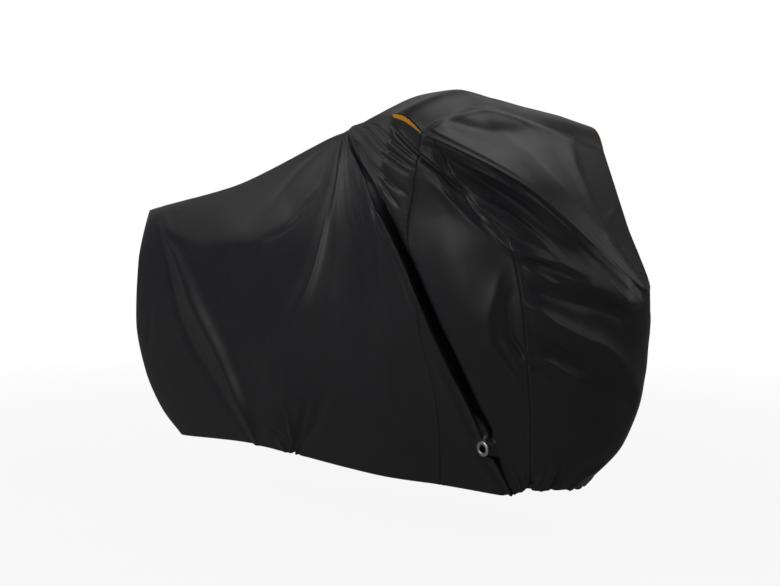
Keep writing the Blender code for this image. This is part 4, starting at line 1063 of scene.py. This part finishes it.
def makeClothPieces(skin):
    made = {}
    for number, (node, (name, slot, _)) in enumerate(clothPieces.items()):
        panel = skin.copy()
        index = panelNames.index(node)
        others = [face for face in panel.faces if face.material_index != index]
        bmesh.ops.delete(panel, geom=others, context="FACES")
        bmesh.ops.remove_doubles(panel, verts=panel.verts[:], dist=1e-5)
        bmesh.ops.dissolve_degenerate(panel, edges=panel.edges[:], dist=1e-6)
        side = node.split("_")[-1]
        if node.startswith("gusset"):
            seatAndPunch(panel, *eyeletSeat(side))
        for face in panel.faces:
            face.material_index = 0
        if node.startswith("vent_lip"):
            material = wovenTape(f"woven polyester tape {side}")
        else:
            material = coatedPolyester(f"coated polyester {number + 1}", 0.7 * number)
        piece = makeObject(panel, name, material)
        if node.startswith("vent_lip"):
            thick = piece.modifiers.new("tape", "SOLIDIFY")
            thick.thickness, thick.offset = ventLip["thickness"], 0.2
        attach(piece, "root")
        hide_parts(node)
        made[node] = piece
        print(f"{name}: {len(piece.data.polygons)} faces")
    return made


skin = wholeSkin()
pieces = makeClothPieces(skin)
skin.free()
brass = platedBrass("nickel-plated brass")
for side in sides:
    ring = makeEyelet(side, brass)
    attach(ring, "root")
    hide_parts(f"eyelet_{side}")
    pieces[f"eyelet_{side}"] = ring
print("pieces made")

studio = {
    "floorDrop": -1.179, "floorSize": 60.0, "floorColour": "f6f6f6", "floorGlow": 0.90,
    "floorFade": (1.6, 4.5),  # metres from the middle over which the floor turns into the white behind
    "skyFromBelow": 0.13, "sky": 0.04, "skyOverhead": 0.03,
    "horizon": (-0.12, 0.02), "overhead": (0.45, 0.75),  # heights over which the sky's light changes
    "softbox": 1.8, "distance": 4.0, "aim": (0.0, 0.0, -0.5),
}
softboxes = (
    # name, azimuth, elevation, power
    ("left key", -100, 20, 30.0),
    ("left low", -95, 0, 5.5),
    ("left high", -145, 45, 20.0),
    ("left rim", 170, 20, 4.0),
    ("left rim high", 170, 50, 2.5),
    ("right low", 35, 20, 12.0),
    ("right front high", -10, 45, 3.0),
    ("right front", -8, 30, 8.5),
    ("right overhead", 35, 70, 22.0),
    ("right back", 80, 45, 7.5),
    ("back high", 125, 45, 5.5),
)


def turnToward(thing, place, target):
    thing.location = place
    thing.rotation_mode = "QUATERNION"
    thing.rotation_quaternion = (Vector(target) - Vector(place)).to_track_quat("-Z", "Y")
    bpy.context.scene.collection.objects.link(thing)


def makeSoftboxes():
    for name, azimuth, elevation, power in softboxes:
        light = bpy.data.lights.new(name, "AREA")
        light.shape, light.size, light.energy = "SQUARE", studio["softbox"], power
        turn, tilt = math.radians(azimuth), math.radians(elevation)
        way = Vector((math.cos(tilt) * math.cos(turn), math.cos(tilt) * math.sin(turn), math.sin(tilt)))
        place = Vector(studio["aim"]) + way * studio["distance"]
        turnToward(bpy.data.objects.new(name, light), place, studio["aim"])


def makeFloor():
    ground = bmesh.new()
    bmesh.ops.create_grid(ground, x_segments=1, y_segments=1, size=studio["floorSize"] / 2)
    bmesh.ops.translate(ground, verts=ground.verts[:], vec=(0, 0, studio["floorDrop"]))
    finish = {"Roughness": 0.7, "Specular IOR Level": 0.1, "Base Color": toLinear(studio["floorColour"])}
    material, tree, shader = newMaterial("white studio floor", finish)
    spot = addNode(tree, "TexCoord")
    far = addNode(tree, "VectorMath", {"operation": "LENGTH"}, {0: spot.outputs["Object"]})
    near, away = studio["floorFade"]
    fade = addNode(tree, "MapRange", {"interpolation_type": "SMOOTHSTEP", "From Min": near, "From Max": away,
                                      "To Min": studio["floorGlow"]}, {"Value": far.outputs["Value"]})
    glow = addNode(tree, "Emission", {"Color": (1, 1, 1, 1), "Strength": 1.0})
    blend = addNode(tree, "MixShader", {}, {0: fade.outputs[0], 1: shader.outputs[0], 2: glow.outputs[0]})
    tree.links.new(blend.outputs[0], tree.nodes["Material Output"].inputs["Surface"])
    floor = makeObject(ground, "studioFloor", material)
    # the sky's lower half stands in for the light that the floor throws back
    floor.visible_diffuse = floor.visible_glossy = False


def makeSky():
    # white behind the cover; as a light, soft round the sides, dim overhead and bright from below
    world = bpy.data.worlds.new("studio sky")
    bpy.context.scene.world = world
    world.use_nodes = True
    tree = world.node_tree
    way = addNode(tree, "TexCoord")
    height = addNode(tree, "SeparateXYZ", {}, {0: way.outputs["Generated"]})
    (lowFrom, lowTo), (highFrom, highTo) = studio["horizon"], studio["overhead"]
    low = addNode(tree, "MapRange", {"From Min": lowFrom, "From Max": lowTo, "To Min": studio["skyFromBelow"],
                                     "To Max": studio["sky"]}, {"Value": height.outputs[2]})
    high = addNode(tree, "MapRange", {"From Min": highFrom, "From Max": highTo, "To Min": 1.0,
                                      "To Max": studio["skyOverhead"] / studio["sky"]},
                   {"Value": height.outputs[2]})
    strength = addNode(tree, "Math", {"operation": "MULTIPLY"}, {0: low.outputs[0], 1: high.outputs[0]})
    sky = tree.nodes["Background"]
    sky.inputs["Color"].default_value = (1, 1, 1, 1)
    tree.links.new(strength.outputs[0], sky.inputs["Strength"])
    backdrop = addNode(tree, "Background", {"Color": (1, 1, 1, 1), "Strength": 1.0})
    seen = addNode(tree, "LightPath")
    mix = addNode(tree, "MixShader", {}, {0: seen.outputs["Is Camera Ray"], 1: sky.outputs[0],
                                          2: backdrop.outputs[0]})
    tree.links.new(mix.outputs[0], tree.nodes["World Output"].inputs["Surface"])


view = {"place": (2.071, -2.759, -0.270), "target": (0.152, 0.0, -0.509), "lens": 50.08}


def makeCamera():
    lens = bpy.data.cameras.new("camera")
    lens.lens, lens.sensor_width = view["lens"], 36.0
    camera = bpy.data.objects.new("camera", lens)
    turnToward(camera, view["place"], view["target"])
    bpy.context.scene.camera = camera


makeFloor()
makeSky()
makeSoftboxes()
makeCamera()
bpy.context.scene.view_settings.view_transform = "Standard"
print("studio made")
